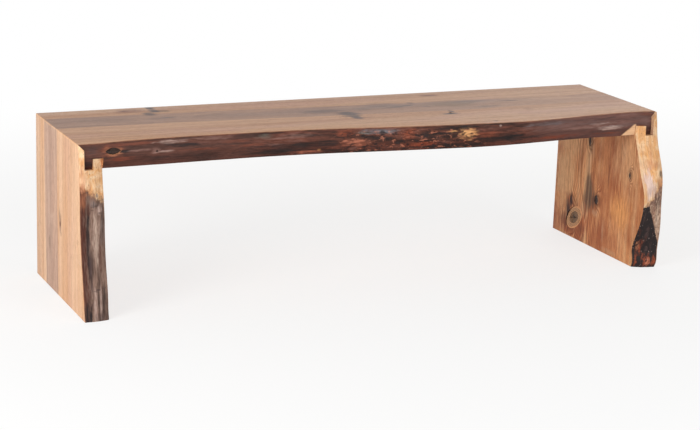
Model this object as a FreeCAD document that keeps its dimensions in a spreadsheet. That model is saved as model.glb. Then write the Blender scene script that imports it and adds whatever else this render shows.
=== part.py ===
import FreeCAD, Part
import math
import os
import Sketcher

# Live-edge waterfall bench: one thick slab cut in three, a seat and two legs, locked at the corners.
# Millimetres. +X runs along the bench to its right end, +Y to the straight sawn back, +Z up.
# The origin is on the floor, in the middle of the length and of the full width.

V = FreeCAD.Vector

# Driving sizes
SIZES = {
    # The whole bench
    "bench_length": 1727,
    "seat_height": 457,
    "slab_width": 504,
    "top_thickness": 67,
    "leg_thickness": 67,
    # The lock mitre at each corner
    "mitre_lip": 15,
    "top_tongue_width": 24,
    "leg_tongue_height": 28,
    "tongue_clearance": 0.3,
    # The edges
    "arris_round": 3,
    "back_round": 2,
    "top_crown": 8,
    "leg_crown": 6,
    "overrun": 2,
    # The dead knots: how tight they sit, how far they have shrunk back, and how big each one is
    "knot_fit": 0.2,
    "knot_sink": 0.6,
    "edge_knot_length": 44,
    "edge_knot_height": 18,
    "edge_knot_depth": 14,
    "edge_knot_drop": 23,
    "edge_knot_from_end": 95,
    "seat_knot_length": 26,
    "seat_knot_width": 13,
    "seat_knot_depth": 20,
    "left_knot_length": 18,
    "left_knot_width": 8,
    "left_knot_depth": 18,
    "ring_length": 104,
    "ring_width": 62,
    "ring_depth": 36,
    "ring_heart_length": 52,
    "ring_heart_width": 34,
    "upper_knot_length": 44,
    "upper_knot_width": 14,
    "upper_knot_depth": 22,
    "middle_knot_length": 30,
    "middle_knot_width": 20,
    "middle_knot_depth": 18,
    "front_knot_length": 18,
    "front_knot_width": 10,
    "front_knot_depth": 14,
}

# Live edge of the seat, from the left end to the right: place along the length, and how far the
# upper and the lower arris stand out from the back, as shares of the length and of the slab's width
TOP_EDGE_SHARES = [
    (0.00, 0.807, 0.809),
    (0.07, 0.786, 0.805),
    (0.20, 0.765, 0.795),
    (0.30, 0.772, 0.789),
    (0.40, 0.792, 0.806),
    (0.50, 0.836, 0.841),
    (0.60, 0.871, 0.873),
    (0.68, 0.891, 0.887),
    (0.75, 0.900, 0.875),
    (0.81, 0.881, 0.855),
    (0.87, 0.852, 0.847),
    (0.93, 0.833, 0.847),
    (1.00, 0.844, 0.850),
]

# Live edges of the legs, from the floor up: share of the height, then the outer and the inner arris
LEFT_EDGE_SHARES = [
    (0.00, 0.939, 0.927),
    (0.12, 0.916, 0.908),
    (0.28, 0.888, 0.877),
    (0.45, 0.859, 0.851),
    (0.62, 0.847, 0.840),
    (0.80, 0.840, 0.806),
    (0.90, 0.831, 0.796),
    (1.00, 0.809, 0.796),
]
RIGHT_EDGE_SHARES = [
    (0.00, 0.944, 0.893),
    (0.10, 0.973, 0.903),
    (0.20, 0.980, 0.928),
    (0.30, 0.984, 0.969),
    (0.40, 0.978, 0.992),
    (0.50, 0.975, 0.992),
    (0.60, 0.969, 0.948),
    (0.70, 0.938, 0.911),
    (0.80, 0.897, 0.873),
    (0.90, 0.875, 0.853),
    (1.00, 0.848, 0.846),
]

# Places of the knots: share of the length or the height, and share of the width out from the back
EDGE_KNOT_SHARE = 0.792
SEAT_KNOT_SHARES = (0.651, 0.588)
LEFT_KNOT_SHARES = (0.449, 0.478)
RING_KNOT_SHARES = (0.144, 0.244)
UPPER_KNOT_SHARES = (0.705, 0.370)
MIDDLE_KNOT_SHARES = (0.330, 0.484)
FRONT_KNOT_SHARES = (0.584, 0.827)

# Degrees: how the knots are turned in their faces
RING_TURN = 145
SEAT_KNOT_TURN = 60
QUARTER_TURN = 90

# Millimetres: an edge that passes this near to a point runs through it
TOUCHING = 0.1

doc = FreeCAD.newDocument("live_edge_bench")
sheet = doc.addObject("Spreadsheet::Sheet", "Sizes")
for row, (name, size) in enumerate(SIZES.items(), start=1):
    sheet.set("A%d" % row, name)
    sheet.set("B%d" % row, str(size))
    sheet.setAlias("B%d" % row, name)
doc.recompute()


class Length:
    """A size as a number for drawing with, and as the expression that ties it to the sheet."""

    def __init__(self, number, text):
        self.number = number
        self.text = text

    def join(self, sign, other, number):
        text = other.text if isinstance(other, Length) else str(other)
        return Length(number, "(%s %s %s)" % (self.text, sign, text))

    def __add__(self, other):
        return self.join("+", other, self.number + other.number)

    def __sub__(self, other):
        return self.join("-", other, self.number - other.number)

    def __mul__(self, share):
        return self.join("*", share, self.number * share)

    def __truediv__(self, share):
        return self.join("/", share, self.number / share)

    def __neg__(self):
        return Length(-self.number, "(-%s)" % self.text)


def size(name):
    return Length(SIZES[name], "Sizes.%s" % name)


def arc_radius(run, rise, crown):
    """The radius of an arc that spans run by rise and stands crown proud of its chord."""
    number = (run.number**2 + rise.number**2) / (8 * crown.number) + crown.number / 2
    text = "((%s)^2 + (%s)^2) / (8 * %s) + %s / 2" % (run.text, rise.text, crown.text, crown.text)
    return Length(number, text)


# Faces and levels that several pieces share
left_end = -(size("bench_length") / 2)
right_end = size("bench_length") / 2
back = size("slab_width") / 2
front_limit = back - size("slab_width") - size("overrun")
seat = size("seat_height")
underside = seat - size("top_thickness")
tongue_top = underside + size("leg_tongue_height")
mitre_foot = seat - size("mitre_lip")
nothing = Length(0, "0")


def across(mirror, distance):
    """A place at a distance in from the left end, or from the right end where mirror is true."""
    if mirror:
        return right_end - distance
    return left_end + distance


def plane(body, role):
    for item in body.Origin.OriginFeatures:
        if item.Role == role:
            return item
    raise ValueError(role)


def new_body(name):
    body = doc.addObject("PartDesign::Body", name)
    body.Label = name
    return body


def new_sketch(body, name, role, out, right=None, up=None, turn=0):
    """A sketch on a plane of the body's origin, moved out along its normal and within the plane."""
    sketch = body.newObject("Sketcher::SketchObject", name)
    sketch.AttachmentSupport = (plane(body, role), [""])
    sketch.MapMode = "FlatFace"
    rotation = FreeCAD.Rotation(V(0, 0, 1), turn)
    place = [right or nothing, up or nothing, out]
    sketch.AttachmentOffset = FreeCAD.Placement(V(*[item.number for item in place]), rotation)
    for axis, item in zip("xyz", place):
        if item is not nothing:
            sketch.setExpression("AttachmentOffset.Base.%s" % axis, item.text)
    return sketch


def pin_point(sketch, item, end, right, up):
    """Tie one end of a sketch element to its place, measured from the sketch's own origin."""
    for kind, place, axis in (("DistanceX", right, -2), ("DistanceY", up, -1)):
        if place is nothing:
            sketch.addConstraint(Sketcher.Constraint("PointOnObject", item, end, axis))
            continue
        rule = sketch.addConstraint(Sketcher.Constraint(kind, item, end, place.number))
        sketch.setExpression("Constraints[%d]" % rule, place.text)


def pin_radius(sketch, item, radius):
    rule = sketch.addConstraint(Sketcher.Constraint("Radius", item, radius.number))
    sketch.setExpression("Constraints[%d]" % rule, radius.text)


def arc_between(start, end, radius, bulge):
    """An arc under a half circle from start to end, drawn anticlockwise, standing out towards bulge."""
    middle = (start + end) / 2
    chord = end - start
    normal = V(-chord.y, chord.x, 0).normalize()
    if normal.dot(bulge - middle) < 0:
        normal = -normal
    centre = middle - normal * (radius**2 - (chord.Length / 2) ** 2) ** 0.5
    circle = Part.Circle(centre, V(0, 0, 1), radius)
    angles = [math.atan2(point.y - centre.y, point.x - centre.x) for point in (start, end)]
    forward = (start - centre).cross(end - centre).z > 0
    if not forward:
        angles.reverse()
    return Part.ArcOfCircle(circle, angles[0], angles[1]), forward


def outline(sketch, corners):
    """Draw a closed outline. A corner is (right, up), with (radius, bulge) added where an arc follows."""
    points = [V(corner[0].number, corner[1].number, 0) for corner in corners]
    count = len(corners)
    ends = []
    for index, corner in enumerate(corners):
        start, end = points[index], points[(index + 1) % count]
        forward = True
        if len(corner) == 4:
            curve, forward = arc_between(start, end, corner[2].number, corner[3])
        else:
            curve = Part.LineSegment(start, end)
        sketch.addGeometry(curve)
        ends.append((1, 2) if forward else (2, 1))
    for index in range(count):
        after = (index + 1) % count
        joined = Sketcher.Constraint("Coincident", index, ends[index][1], after, ends[after][0])
        sketch.addConstraint(joined)
    for index, corner in enumerate(corners):
        pin_point(sketch, index, ends[index][0], corner[0], corner[1])
        if len(corner) == 4:
            pin_radius(sketch, index, corner[2])


def pad(body, name, sketch, length, reverse=False):
    feature = body.newObject("PartDesign::Pad", name)
    feature.Profile = sketch
    feature.setExpression("Length", length.text)
    feature.Reversed = reverse
    sketch.Visibility = False
    return feature


def pocket(body, name, sketch, length, reverse=False):
    feature = body.newObject("PartDesign::Pocket", name)
    feature.Profile = sketch
    feature.setExpression("Length", length.text)
    feature.Reversed = reverse
    sketch.Visibility = False
    return feature


# The lock mitre: a short mitre outside, so that the grain seems to fall over the corner, then two
# tongues that hook past each other, the seat's outside the leg's
def seat_end(mirror):
    """The seat's end, from the corner on its upper face down and in to its underside."""
    lip = size("mitre_lip")
    hook = lip + size("top_tongue_width")
    round_off = size("arris_round")
    cut = round_off * (1 - 0.5**0.5)
    bulge = V(across(mirror, nothing).number, seat.number, 0)
    return [
        (across(mirror, round_off), seat, round_off, bulge),
        (across(mirror, cut), seat - cut),
        (across(mirror, lip), mitre_foot),
        (across(mirror, lip), underside + size("tongue_clearance")),
        (across(mirror, hook), underside + size("tongue_clearance")),
        (across(mirror, hook), tongue_top),
        (across(mirror, size("leg_thickness")), tongue_top),
        (across(mirror, size("leg_thickness")), underside),
    ]


def leg_profile(mirror):
    """The leg seen from the front, from its rounded top corner in to its tongue and down to the floor."""
    lip = size("mitre_lip")
    hook = lip + size("top_tongue_width")
    round_off = size("arris_round")
    cut = round_off * (1 - 0.5**0.5)
    inner = size("leg_thickness")
    bulge = V(across(mirror, nothing).number, seat.number, 0)
    return [
        (across(mirror, nothing), nothing),
        (across(mirror, nothing), seat - round_off, round_off, bulge),
        (across(mirror, cut), seat - cut),
        (across(mirror, lip), mitre_foot),
        (across(mirror, lip), underside),
        (across(mirror, hook), underside),
        (across(mirror, hook), tongue_top - size("tongue_clearance")),
        (across(mirror, inner), tongue_top - size("tongue_clearance")),
        (across(mirror, inner), nothing),
    ]


def ease_back(body, feature, places):
    """Round the long back arrises that run through the given points."""
    doc.recompute()
    names = []
    for number, edge in enumerate(feature.Shape.Edges, start=1):
        gaps = [edge.distToShape(Part.Vertex(place))[0] for place in places]
        if min(gaps) < TOUCHING:
            names.append("Edge%d" % number)
    fillet = body.newObject("PartDesign::Fillet", body.Name + "_eased_back")
    fillet.Base = (feature, names)
    fillet.setExpression("Radius", size("back_round").text)
    return fillet


def live_edge(body, role, stations, crown, low, high):
    """Cut the front away along a natural edge, by a loft through one section at each station."""
    sections = []
    for number, (out, first, second) in enumerate(stations):
        sketch = new_sketch(body, "%s_edge_%d" % (body.Name, number), role, out)
        first_out, second_out = back - first, back - second
        radius = arc_radius(first - second, high - low, crown)
        if role == "YZ_Plane":
            bulge = V(front_limit.number, (low.number + high.number) / 2, 0)
            corners = [
                (first_out, high, radius, bulge),
                (second_out, low),
                (front_limit, low),
                (front_limit, high),
            ]
        else:
            bulge = V((low.number + high.number) / 2, front_limit.number, 0)
            corners = [
                (high, first_out, radius, bulge),
                (low, second_out),
                (low, front_limit),
                (high, front_limit),
            ]
        outline(sketch, corners)
        sections.append(sketch)
    loft = body.newObject("PartDesign::SubtractiveLoft", body.Name + "_live_edge")
    loft.Profile = sections[0]
    loft.Sections = sections[1:]
    return loft


def stations(shares, length, start):
    """The sections' places and reaches, with the two end sections moved just past the wood."""
    result = []
    for number, (along, first, second) in enumerate(shares):
        place = start + length * along
        if number == 0:
            place = place - size("overrun")
        if number == len(shares) - 1:
            place = place + size("overrun")
        result.append((place, size("slab_width") * first, size("slab_width") * second))
    return result


def make_seat():
    body = new_body("seat_slab")
    sketch = new_sketch(body, "seat_profile", "XZ_Plane", -back)
    right_side = list(reversed(seat_end(True)))
    corners = seat_end(False) + [corner[:2] for corner in right_side]
    # The arc at the right corner starts from the corner before it when the outline runs this way round
    arc = seat_end(True)[0]
    corners[-2] = corners[-2] + arc[2:]
    outline(sketch, corners)
    block = pad(body, "seat_block", sketch, size("slab_width") + size("overrun"))
    arrises = [V(0, back.number, level.number) for level in (seat, underside)]
    ease_back(body, block, arrises)
    low = underside - size("overrun")
    high = seat + size("overrun")
    live_edge(
        body,
        "YZ_Plane",
        stations(TOP_EDGE_SHARES, size("bench_length"), left_end),
        size("top_crown"),
        low,
        high,
    )
    return body


def make_leg(name, mirror, shares):
    body = new_body(name)
    sketch = new_sketch(body, name + "_profile", "XZ_Plane", -back)
    outline(sketch, leg_profile(mirror))
    block = pad(body, name + "_block", sketch, size("slab_width") + size("overrun"))
    outer = across(mirror, nothing)
    inner = across(mirror, size("leg_thickness"))
    arrises = [V(side.number, back.number, seat.number / 2) for side in (outer, inner)]
    ease_back(body, block, arrises)
    sides = [outer - size("overrun"), inner + size("overrun")]
    rows = stations(shares, seat, nothing)
    if mirror:
        sides = [inner - size("overrun"), outer + size("overrun")]
    else:
        rows = [(place, second, first) for place, first, second in rows]
    live_edge(body, "XY_Plane", rows, size("leg_crown"), sides[0], sides[1])
    return body


# Dead knots: stubs of old branches that never grew into the slab, each standing in a hole of its own
def eye(sketch, length, width):
    """A pointed oval along the sketch's first direction, with its middle at the sketch's origin."""
    half, rise = length / 2, width / 2
    number = (half.number**2 + rise.number**2) / (2 * rise.number)
    radius = Length(number, "((%s)^2 + (%s)^2) / (2 * %s)" % (half.text, rise.text, rise.text))
    outline(
        sketch,
        [(-half, nothing, radius, V(0, rise.number, 0)), (half, nothing, radius, V(0, -rise.number, 0))],
    )


def oval(sketch, length, width):
    """An ellipse with its middle at the sketch's origin."""
    half, rise = length / 2, width / 2
    curve = sketch.addGeometry(Part.Ellipse(V(0, 0, 0), half.number, rise.number))
    sketch.exposeInternalGeometry(curve)
    sketch.addConstraint(Sketcher.Constraint("Coincident", curve, 3, -1, 1))
    sketch.addConstraint(Sketcher.Constraint("Horizontal", curve + 1))
    for line, whole in ((curve + 1, length), (curve + 2, width)):
        rule = sketch.addConstraint(Sketcher.Constraint("Distance", line, whole.number))
        sketch.setExpression("Constraints[%d]" % rule, whole.text)


def knot_hole(host, name, shape, spot, length, width, depth):
    role, floor, right, up, turn, outward = spot
    sketch = new_sketch(host, name + "_hole_outline", role, floor, right, up, turn)
    shape(sketch, length, width)
    return pocket(host, name + "_hole", sketch, depth + size("overrun"), outward)


def knot_plug(name, shape, spot, length, width, depth):
    role, floor, right, up, turn, outward = spot
    body = new_body(name)
    sketch = new_sketch(body, name + "_outline", role, floor, right, up, turn)
    fit = size("knot_fit") * 2
    shape(sketch, length - fit, width - fit)
    pad(body, name + "_stub", sketch, depth - size("knot_sink"), not outward)
    return body


def knot(name, host, shape, spot, length, width, depth):
    """Sink a hole into the host and stand a plug in it, both drawn from the same sizes."""
    knot_hole(host, name, shape, spot, length, width, depth)
    return knot_plug(name, shape, spot, length, width, depth)


def make_seat_knots(seat_slab):
    # The big eye on the live edge, just in from the left corner
    depth = size("edge_knot_depth")
    along = size("edge_knot_from_end")
    reach = size("slab_width") * EDGE_KNOT_SHARE
    floor = reach - back - depth
    spot = ("XZ_Plane", floor, left_end + along, seat - size("edge_knot_drop"), 0, True)
    knot("edge_knot", seat_slab, eye, spot, size("edge_knot_length"), size("edge_knot_height"), depth)
    # A small dark knot in the upper face
    depth = size("seat_knot_depth")
    along, out = SEAT_KNOT_SHARES
    right = left_end + size("bench_length") * along
    up = back - size("slab_width") * out
    spot = ("XY_Plane", seat - depth, right, up, SEAT_KNOT_TURN, True)
    knot("seat_knot", seat_slab, eye, spot, size("seat_knot_length"), size("seat_knot_width"), depth)


def leg_spot(face, depth, shares, turn, outward):
    """A knot's place on a leg's broad face, from its height and its reach from the back."""
    height, out = shares
    floor = face + depth if outward is False else face - depth
    return ("YZ_Plane", floor, back - size("slab_width") * out, size("seat_height") * height, turn, outward)


def make_leg_knots(left_leg, right_leg):
    # The left leg's slit shows on its outer face, which looks to -X like the right leg's inner face
    depth = size("left_knot_depth")
    spot = leg_spot(left_end, depth, LEFT_KNOT_SHARES, QUARTER_TURN, False)
    knot("left_leg_knot", left_leg, eye, spot, size("left_knot_length"), size("left_knot_width"), depth)
    face = right_end - size("leg_thickness")
    plain = (
        ("upper_knot", UPPER_KNOT_SHARES),
        ("middle_knot", MIDDLE_KNOT_SHARES),
        ("front_knot", FRONT_KNOT_SHARES),
    )
    for name, shares in plain:
        depth = size(name + "_depth")
        spot = leg_spot(face, depth, shares, QUARTER_TURN, False)
        length, width = size(name + "_length"), size(name + "_width")
        knot("right_leg_" + name, right_leg, eye, spot, length, width, depth)
    # The ring knot: a heart of branch wood inside a collar of its own rings, leaning towards the front
    depth = size("ring_depth")
    spot = leg_spot(face, depth, RING_KNOT_SHARES, RING_TURN, False)
    whole = (size("ring_length"), size("ring_width"), depth)
    heart = (size("ring_heart_length"), size("ring_heart_width"), depth)
    collar = knot("ring_knot_collar", right_leg, oval, spot, *whole)
    knot("ring_knot_heart", collar, oval, spot, *heart)


def faults():
    """What came out failed, empty or broken."""
    found = [item.Name for item in doc.Objects if {"Invalid", "Error"} & set(item.State)]
    for body in doc.findObjects("PartDesign::Body"):
        if body.Shape.isNull() or not body.Shape.isValid() or len(body.Shape.Solids) != 1:
            found.append(body.Label)
    return found


seat_slab = make_seat()
left_leg = make_leg("left_leg_slab", False, LEFT_EDGE_SHARES)
right_leg = make_leg("right_leg_slab", True, RIGHT_EDGE_SHARES)
doc.recompute()
slab_volumes = [slab.Shape.Volume for slab in (seat_slab, left_leg, right_leg)]
make_seat_knots(seat_slab)
make_leg_knots(left_leg, right_leg)
doc.recompute()

# Each slab with a knot has to be smaller than it was, or a hole missed the wood
for slab, volume in zip((seat_slab, left_leg, right_leg), slab_volumes):
    if not slab.Shape.Volume < volume:
        raise RuntimeError("a knot hole missed " + slab.Label)
if faults():
    raise RuntimeError("failed: " + ", ".join(faults()))

os.makedirs("parts", exist_ok=True)
for body in doc.findObjects("PartDesign::Body"):
    body.Shape.exportStep("parts/%s.step" % body.Label)
    print(body.Label, round(body.Shape.Volume / 1000), "cm3")
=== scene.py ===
# %% [markdown]
# # A waterfall bench with a live edge
# One thick slab was sawn into three: a seat and two legs. The grain runs along the seat and falls
# over both corners, where short mitres and hooked tongues lock the pieces together. The back was
# sawn straight, and the front keeps the outside of the tree. This lesson dresses the measured
# solids: it rebuilds each slab with a carved natural edge, sets dead knots in holes of their own,
# and writes the wood as node maths.

# %% Load the measured bench
import math

import bmesh
import bpy
import numpy as np
from mathutils import Matrix, Vector, noise
from mathutils.bvhtree import BVHTree


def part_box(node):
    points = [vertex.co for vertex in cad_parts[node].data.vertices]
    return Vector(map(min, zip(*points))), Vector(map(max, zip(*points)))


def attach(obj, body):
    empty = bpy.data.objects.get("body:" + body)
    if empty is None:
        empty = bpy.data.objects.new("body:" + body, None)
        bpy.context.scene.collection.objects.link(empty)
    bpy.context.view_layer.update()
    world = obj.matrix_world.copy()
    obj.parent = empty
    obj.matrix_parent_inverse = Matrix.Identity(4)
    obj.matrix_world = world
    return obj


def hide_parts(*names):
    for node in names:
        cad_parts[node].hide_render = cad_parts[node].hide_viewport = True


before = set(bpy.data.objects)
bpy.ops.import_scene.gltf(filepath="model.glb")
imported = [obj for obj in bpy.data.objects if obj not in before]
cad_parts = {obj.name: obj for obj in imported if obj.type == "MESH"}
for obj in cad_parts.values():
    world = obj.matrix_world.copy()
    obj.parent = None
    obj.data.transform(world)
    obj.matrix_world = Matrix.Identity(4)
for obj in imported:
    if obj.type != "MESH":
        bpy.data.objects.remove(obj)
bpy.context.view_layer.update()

# %% [markdown]
# Every size comes from the boxes of the solids, so the dressed slabs can't drift from them. Only
# the cuts of the corner joint and the rounds of the arrises can't be read from a box, so they are
# written here.

# %% Sizes read from the solids
MM = 0.001
seat_low, seat_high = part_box("seat_slab")
leg_low, leg_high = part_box("left_leg_slab")
HEIGHT = seat_high.z
HALF_LENGTH = -leg_low.x
SEAT_THICK = seat_high.z - seat_low.z
LEG_THICK = leg_high.x - leg_low.x
BACK = seat_high.y
MITRE_LIP = 15 * MM
SEAT_TONGUE = 24 * MM
LEG_TONGUE_RISE = 28 * MM
ARRIS_ROUND = 3 * MM
BACK_ROUND = 2 * MM
print("length", round(2 * HALF_LENGTH, 4), "height", round(HEIGHT, 4), "thickness", round(SEAT_THICK, 4))

# %% [markdown]
# The camera comes first, because it decides how much detail anything needs. It stands left of the
# middle, a little above the seat, and looks along the bench. Its place, heading and lens were found
# by matching the corners of the solids to the photograph.

# %% Camera
CAMERA_PLACE = (-2.1635, -4.6884, 1.5186)
CAMERA_YAW = 0.4284
CAMERA_PITCH = 0.2563
CAMERA_ROLL = 0.0347
IMAGE_WIDTH = 700
FOCAL_PIXELS = 1876.5
SENSOR_WIDTH = 36.0


def camera_axes():
    """The camera's right, up and backward directions in the room."""
    flat = math.cos(CAMERA_PITCH)
    ahead = Vector((math.sin(CAMERA_YAW) * flat, math.cos(CAMERA_YAW) * flat, -math.sin(CAMERA_PITCH)))
    level = Vector((math.cos(CAMERA_YAW), -math.sin(CAMERA_YAW), 0))
    upright = level.cross(ahead)
    right = math.cos(CAMERA_ROLL) * level + math.sin(CAMERA_ROLL) * upright
    up = math.cos(CAMERA_ROLL) * upright - math.sin(CAMERA_ROLL) * level
    return right, up, -ahead


def make_camera():
    data = bpy.data.cameras.new("bench_camera")
    camera = bpy.data.objects.new("bench_camera", data)
    bpy.context.scene.collection.objects.link(camera)
    turned = Matrix(camera_axes()).transposed().to_4x4()
    camera.matrix_world = Matrix.Translation(Vector(CAMERA_PLACE)) @ turned
    data.sensor_width = SENSOR_WIDTH
    data.lens = FOCAL_PIXELS / IMAGE_WIDTH * SENSOR_WIDTH
    return camera


bpy.context.scene.camera = make_camera()
print("lens", round(bpy.context.scene.camera.data.lens, 1), "mm")

# %% [markdown]
# A slab is easiest to think of in its own directions: how far along the board, how far out from
# the straight back, and how deep below the face that shows. One small function per slab turns
# those three into a place in the room. The legs count along from the top corner down.

# %% The three slabs' own directions
def on_seat(along, out, deep):
    return Vector((along, BACK - out, HEIGHT - deep))


def on_left_leg(along, out, deep):
    return Vector((-HALF_LENGTH + deep, BACK - out, HEIGHT - along))


def on_right_leg(along, out, deep):
    return Vector((HALF_LENGTH - deep, BACK - out, HEIGHT - along))


SLABS = {
    "seat_slab": (on_seat, -HALF_LENGTH, HALF_LENGTH, SEAT_THICK, ("edge_knot",)),
    "left_leg_slab": (on_left_leg, 0.0, HEIGHT, LEG_THICK, ()),
    "right_leg_slab": (on_right_leg, 0.0, HEIGHT, LEG_THICK, ()),
}

# %% [markdown]
# The live edge has to follow the measured one. Rays shot at the front of each solid tell how far it
# reaches at every place along and every depth. Where the joint's slots let a ray through, the
# neighbours on the same line fill the gap. Across the thickness the edge is a shallow bow, so three
# numbers per station hold it: a parabola fitted to the hits, smoothed a little along the board.

# %% Read the live edge from the solids
STATION_STEP = 2.5 * MM
RAY_ROWS = 13
RAY_START = 1.0
SKIN = 0.6 * MM
SMOOTH_REACH = 6
SMOOTH_SPREAD = 2.0
BOW_DEGREE = 2


def front_reach(name, stations, shares):
    """How far out from the back the solid reaches, for each station and each share of the depth."""
    place, start, stop, thick, plugs = SLABS[name]
    points, faces = [], []
    for node in (name, *plugs):
        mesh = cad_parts[node].data
        faces += [[index + len(points) for index in face.vertices] for face in mesh.polygons]
        points += [vertex.co.copy() for vertex in mesh.vertices]
    tree = BVHTree.FromPolygons(points, faces)
    reach = np.full((len(stations), len(shares)), np.nan)
    for i, along in enumerate(stations):
        for j, share in enumerate(shares):
            inside = min(max(along, start + SKIN), stop - SKIN)
            spot = place(inside, 0, SKIN + share * (thick - 2 * SKIN))
            spot.y = -RAY_START
            hit = tree.ray_cast(spot, Vector((0, 1, 0)))[0]
            if hit is not None and hit.y < 0:
                reach[i, j] = BACK - hit.y
    for j in range(len(shares)):
        seen = ~np.isnan(reach[:, j])
        reach[:, j] = np.interp(stations, stations[seen], reach[seen, j])
    return reach


def edge_bow(name):
    """The stations along a slab, and at each the parabola of its reach over the share of the depth."""
    start, stop = SLABS[name][1:3]
    stations = np.linspace(start, stop, round((stop - start) / STATION_STEP) + 1)
    shares = np.linspace(0, 1, RAY_ROWS)
    bows = np.array([np.polyfit(shares, row, BOW_DEGREE) for row in front_reach(name, stations, shares)])
    width = np.exp(-np.linspace(-SMOOTH_SPREAD, SMOOTH_SPREAD, 2 * SMOOTH_REACH + 1) ** 2)
    width /= width.sum()
    padded = np.pad(bows, ((SMOOTH_REACH, SMOOTH_REACH), (0, 0)), mode="edge")
    evened = [np.convolve(column, width, "valid") for column in padded.T]
    return stations, np.stack(evened, 1)


# %% [markdown]
# Under the bark a tree is ribbed and lumpy, so the edge gets real relief and not only a bump map.
# Noise at three sizes, all stretched along the grain, makes long ribs, lumps and a fine ripple. Each
# slab adds its own lumps and hollows where the photograph shows them, and the middle of the seat's
# edge is chipped. Near the corners the joiner cleaned the edge, so there the relief dies away.

# %% The relief of the live edge
# Height, then the size of one lump along the board and over its depth
RIB = (2.6 * MM, 0.11, 0.030)
LUMP = (1.5 * MM, 0.034, 0.014)
RIPPLE = (0.45 * MM, 0.011, 0.0045)
CHIP = (3.0 * MM, 0.012, 0.007)
RELIEF_REST = 1.6 * MM
CALM_NEAR, CALM_FAR, CALM_LEFT = 0.060, 0.130, 0.25
# Where each edge is chipped, in metres: the seat's from its middle, the legs' from the top corner
CHIPPED = {
    "seat_slab": (-0.145, 0.285),
    "left_leg_slab": (0.13, 0.19),
    "right_leg_slab": (0.34, 0.47),
}

# In millimetres: middle along, middle depth, half length, half depth, height outwards. The seat's
# lumps are counted from its left end, and the legs' from the top corner.
LUMPS = {
    "seat_slab": [
        (95, 23, 34, 16, 2.6),
        (95, 23, 21, 9, -2.4),
        (214, 32, 14, 11, 2.2),
        (272, 14, 55, 9, -2.0),
        (365, 44, 110, 14, -1.6),
        (560, 16, 90, 10, 1.6),
        (835, 15, 58, 14, -4.2),
        (800, 42, 50, 12, 1.8),
        (985, 22, 34, 15, -3.0),
        (1100, 24, 34, 16, 1.6),
        (1140, 16, 20, 8, -2.4),
        (1246, 43, 52, 15, -3.6),
        (1420, 26, 130, 9, 2.2),
        (1500, 50, 90, 9, -2.2),
        (1580, 30, 60, 8, -1.8),
        (1640, 60, 22, 14, -4.0),
    ],
    "left_leg_slab": [
        (120, 34, 30, 30, 2.0),
        (165, 45, 16, 20, -2.2),
        (260, 16, 80, 10, -2.4),
        (330, 44, 60, 10, 1.8),
        (368, 34, 12, 30, -1.6),
        (430, 30, 26, 16, -2.6),
    ],
    "right_leg_slab": [
        (160, 20, 60, 22, 1.8),
        (215, 12, 22, 12, -2.8),
        (250, 34, 28, 16, 2.2),
        (300, 10, 80, 10, -1.8),
        (350, 52, 60, 18, -4.4),
        (405, 34, 45, 26, -5.0),
        (445, 40, 24, 20, 2.4),
    ],
}
SEEDS = {"seat_slab": 3.1, "left_leg_slab": 17.4, "right_leg_slab": 31.9}
LUMP_FALL = 1.5
LUMP_END = 4.0
print("lumps and hollows", {name: len(rows) for name, rows in LUMPS.items()})


def slope(value, low, high):
    """0 below low, 1 above high, with an even slope between."""
    share = min(max((value - low) / (high - low), 0.0), 1.0)
    return share * share * (3 - 2 * share)


def hand_lumps(name, along, deep):
    total = 0.0
    first = HALF_LENGTH if name == "seat_slab" else 0.0
    for middle, depth, half_long, half_deep, height in LUMPS[name]:
        long = (along + first - middle * MM) / (half_long * MM)
        across = (deep - depth * MM) / (half_deep * MM)
        far = long * long + across * across
        if far < LUMP_END:
            total += height * MM * math.exp(-LUMP_FALL * far)
    return total


def relief(name, along, deep):
    """How far the edge stands out from its measured bow, negative inwards."""
    seed = SEEDS[name]
    total = 0.0
    for height, long, across in (RIB, LUMP, RIPPLE):
        total += height * noise.noise(Vector((along / long + seed, deep / across, seed)))
    first, last = CHIPPED[name]
    chipped = slope(along, first, first + CALM_NEAR) * slope(-along, -last, CALM_NEAR - last)
    height, long, across = CHIP
    broken = noise.noise(Vector((along / long - seed, deep / across, seed)))
    total -= chipped * height * abs(broken)
    corner = HALF_LENGTH - abs(along) if name == "seat_slab" else along
    rough = CALM_LEFT + (1 - CALM_LEFT) * slope(corner, CALM_NEAR, CALM_FAR)
    return rough * (total + hand_lumps(name, along, deep) - RELIEF_REST)


# %% [markdown]
# Each slab is laid up as one long skin: a closed outline at every station, stitched to the next.
# The outline goes over the show face, down the live edge, back along the hidden face and up the
# back, with small rounds at the sawn arrises. A loft like this keeps every face long and even along
# the grain, which a subdivided box can't do.

# %% Lay up a slab
EDGE_ROWS = 38
FACE_COLUMNS = 7
END_OVERRUN = 4 * MM
LIVE_ROUND = 1.2 * MM
ROUND_SHARE = 0.3
ARRIS_HOLD = 0.35
ARRIS_FREE = 4


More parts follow.
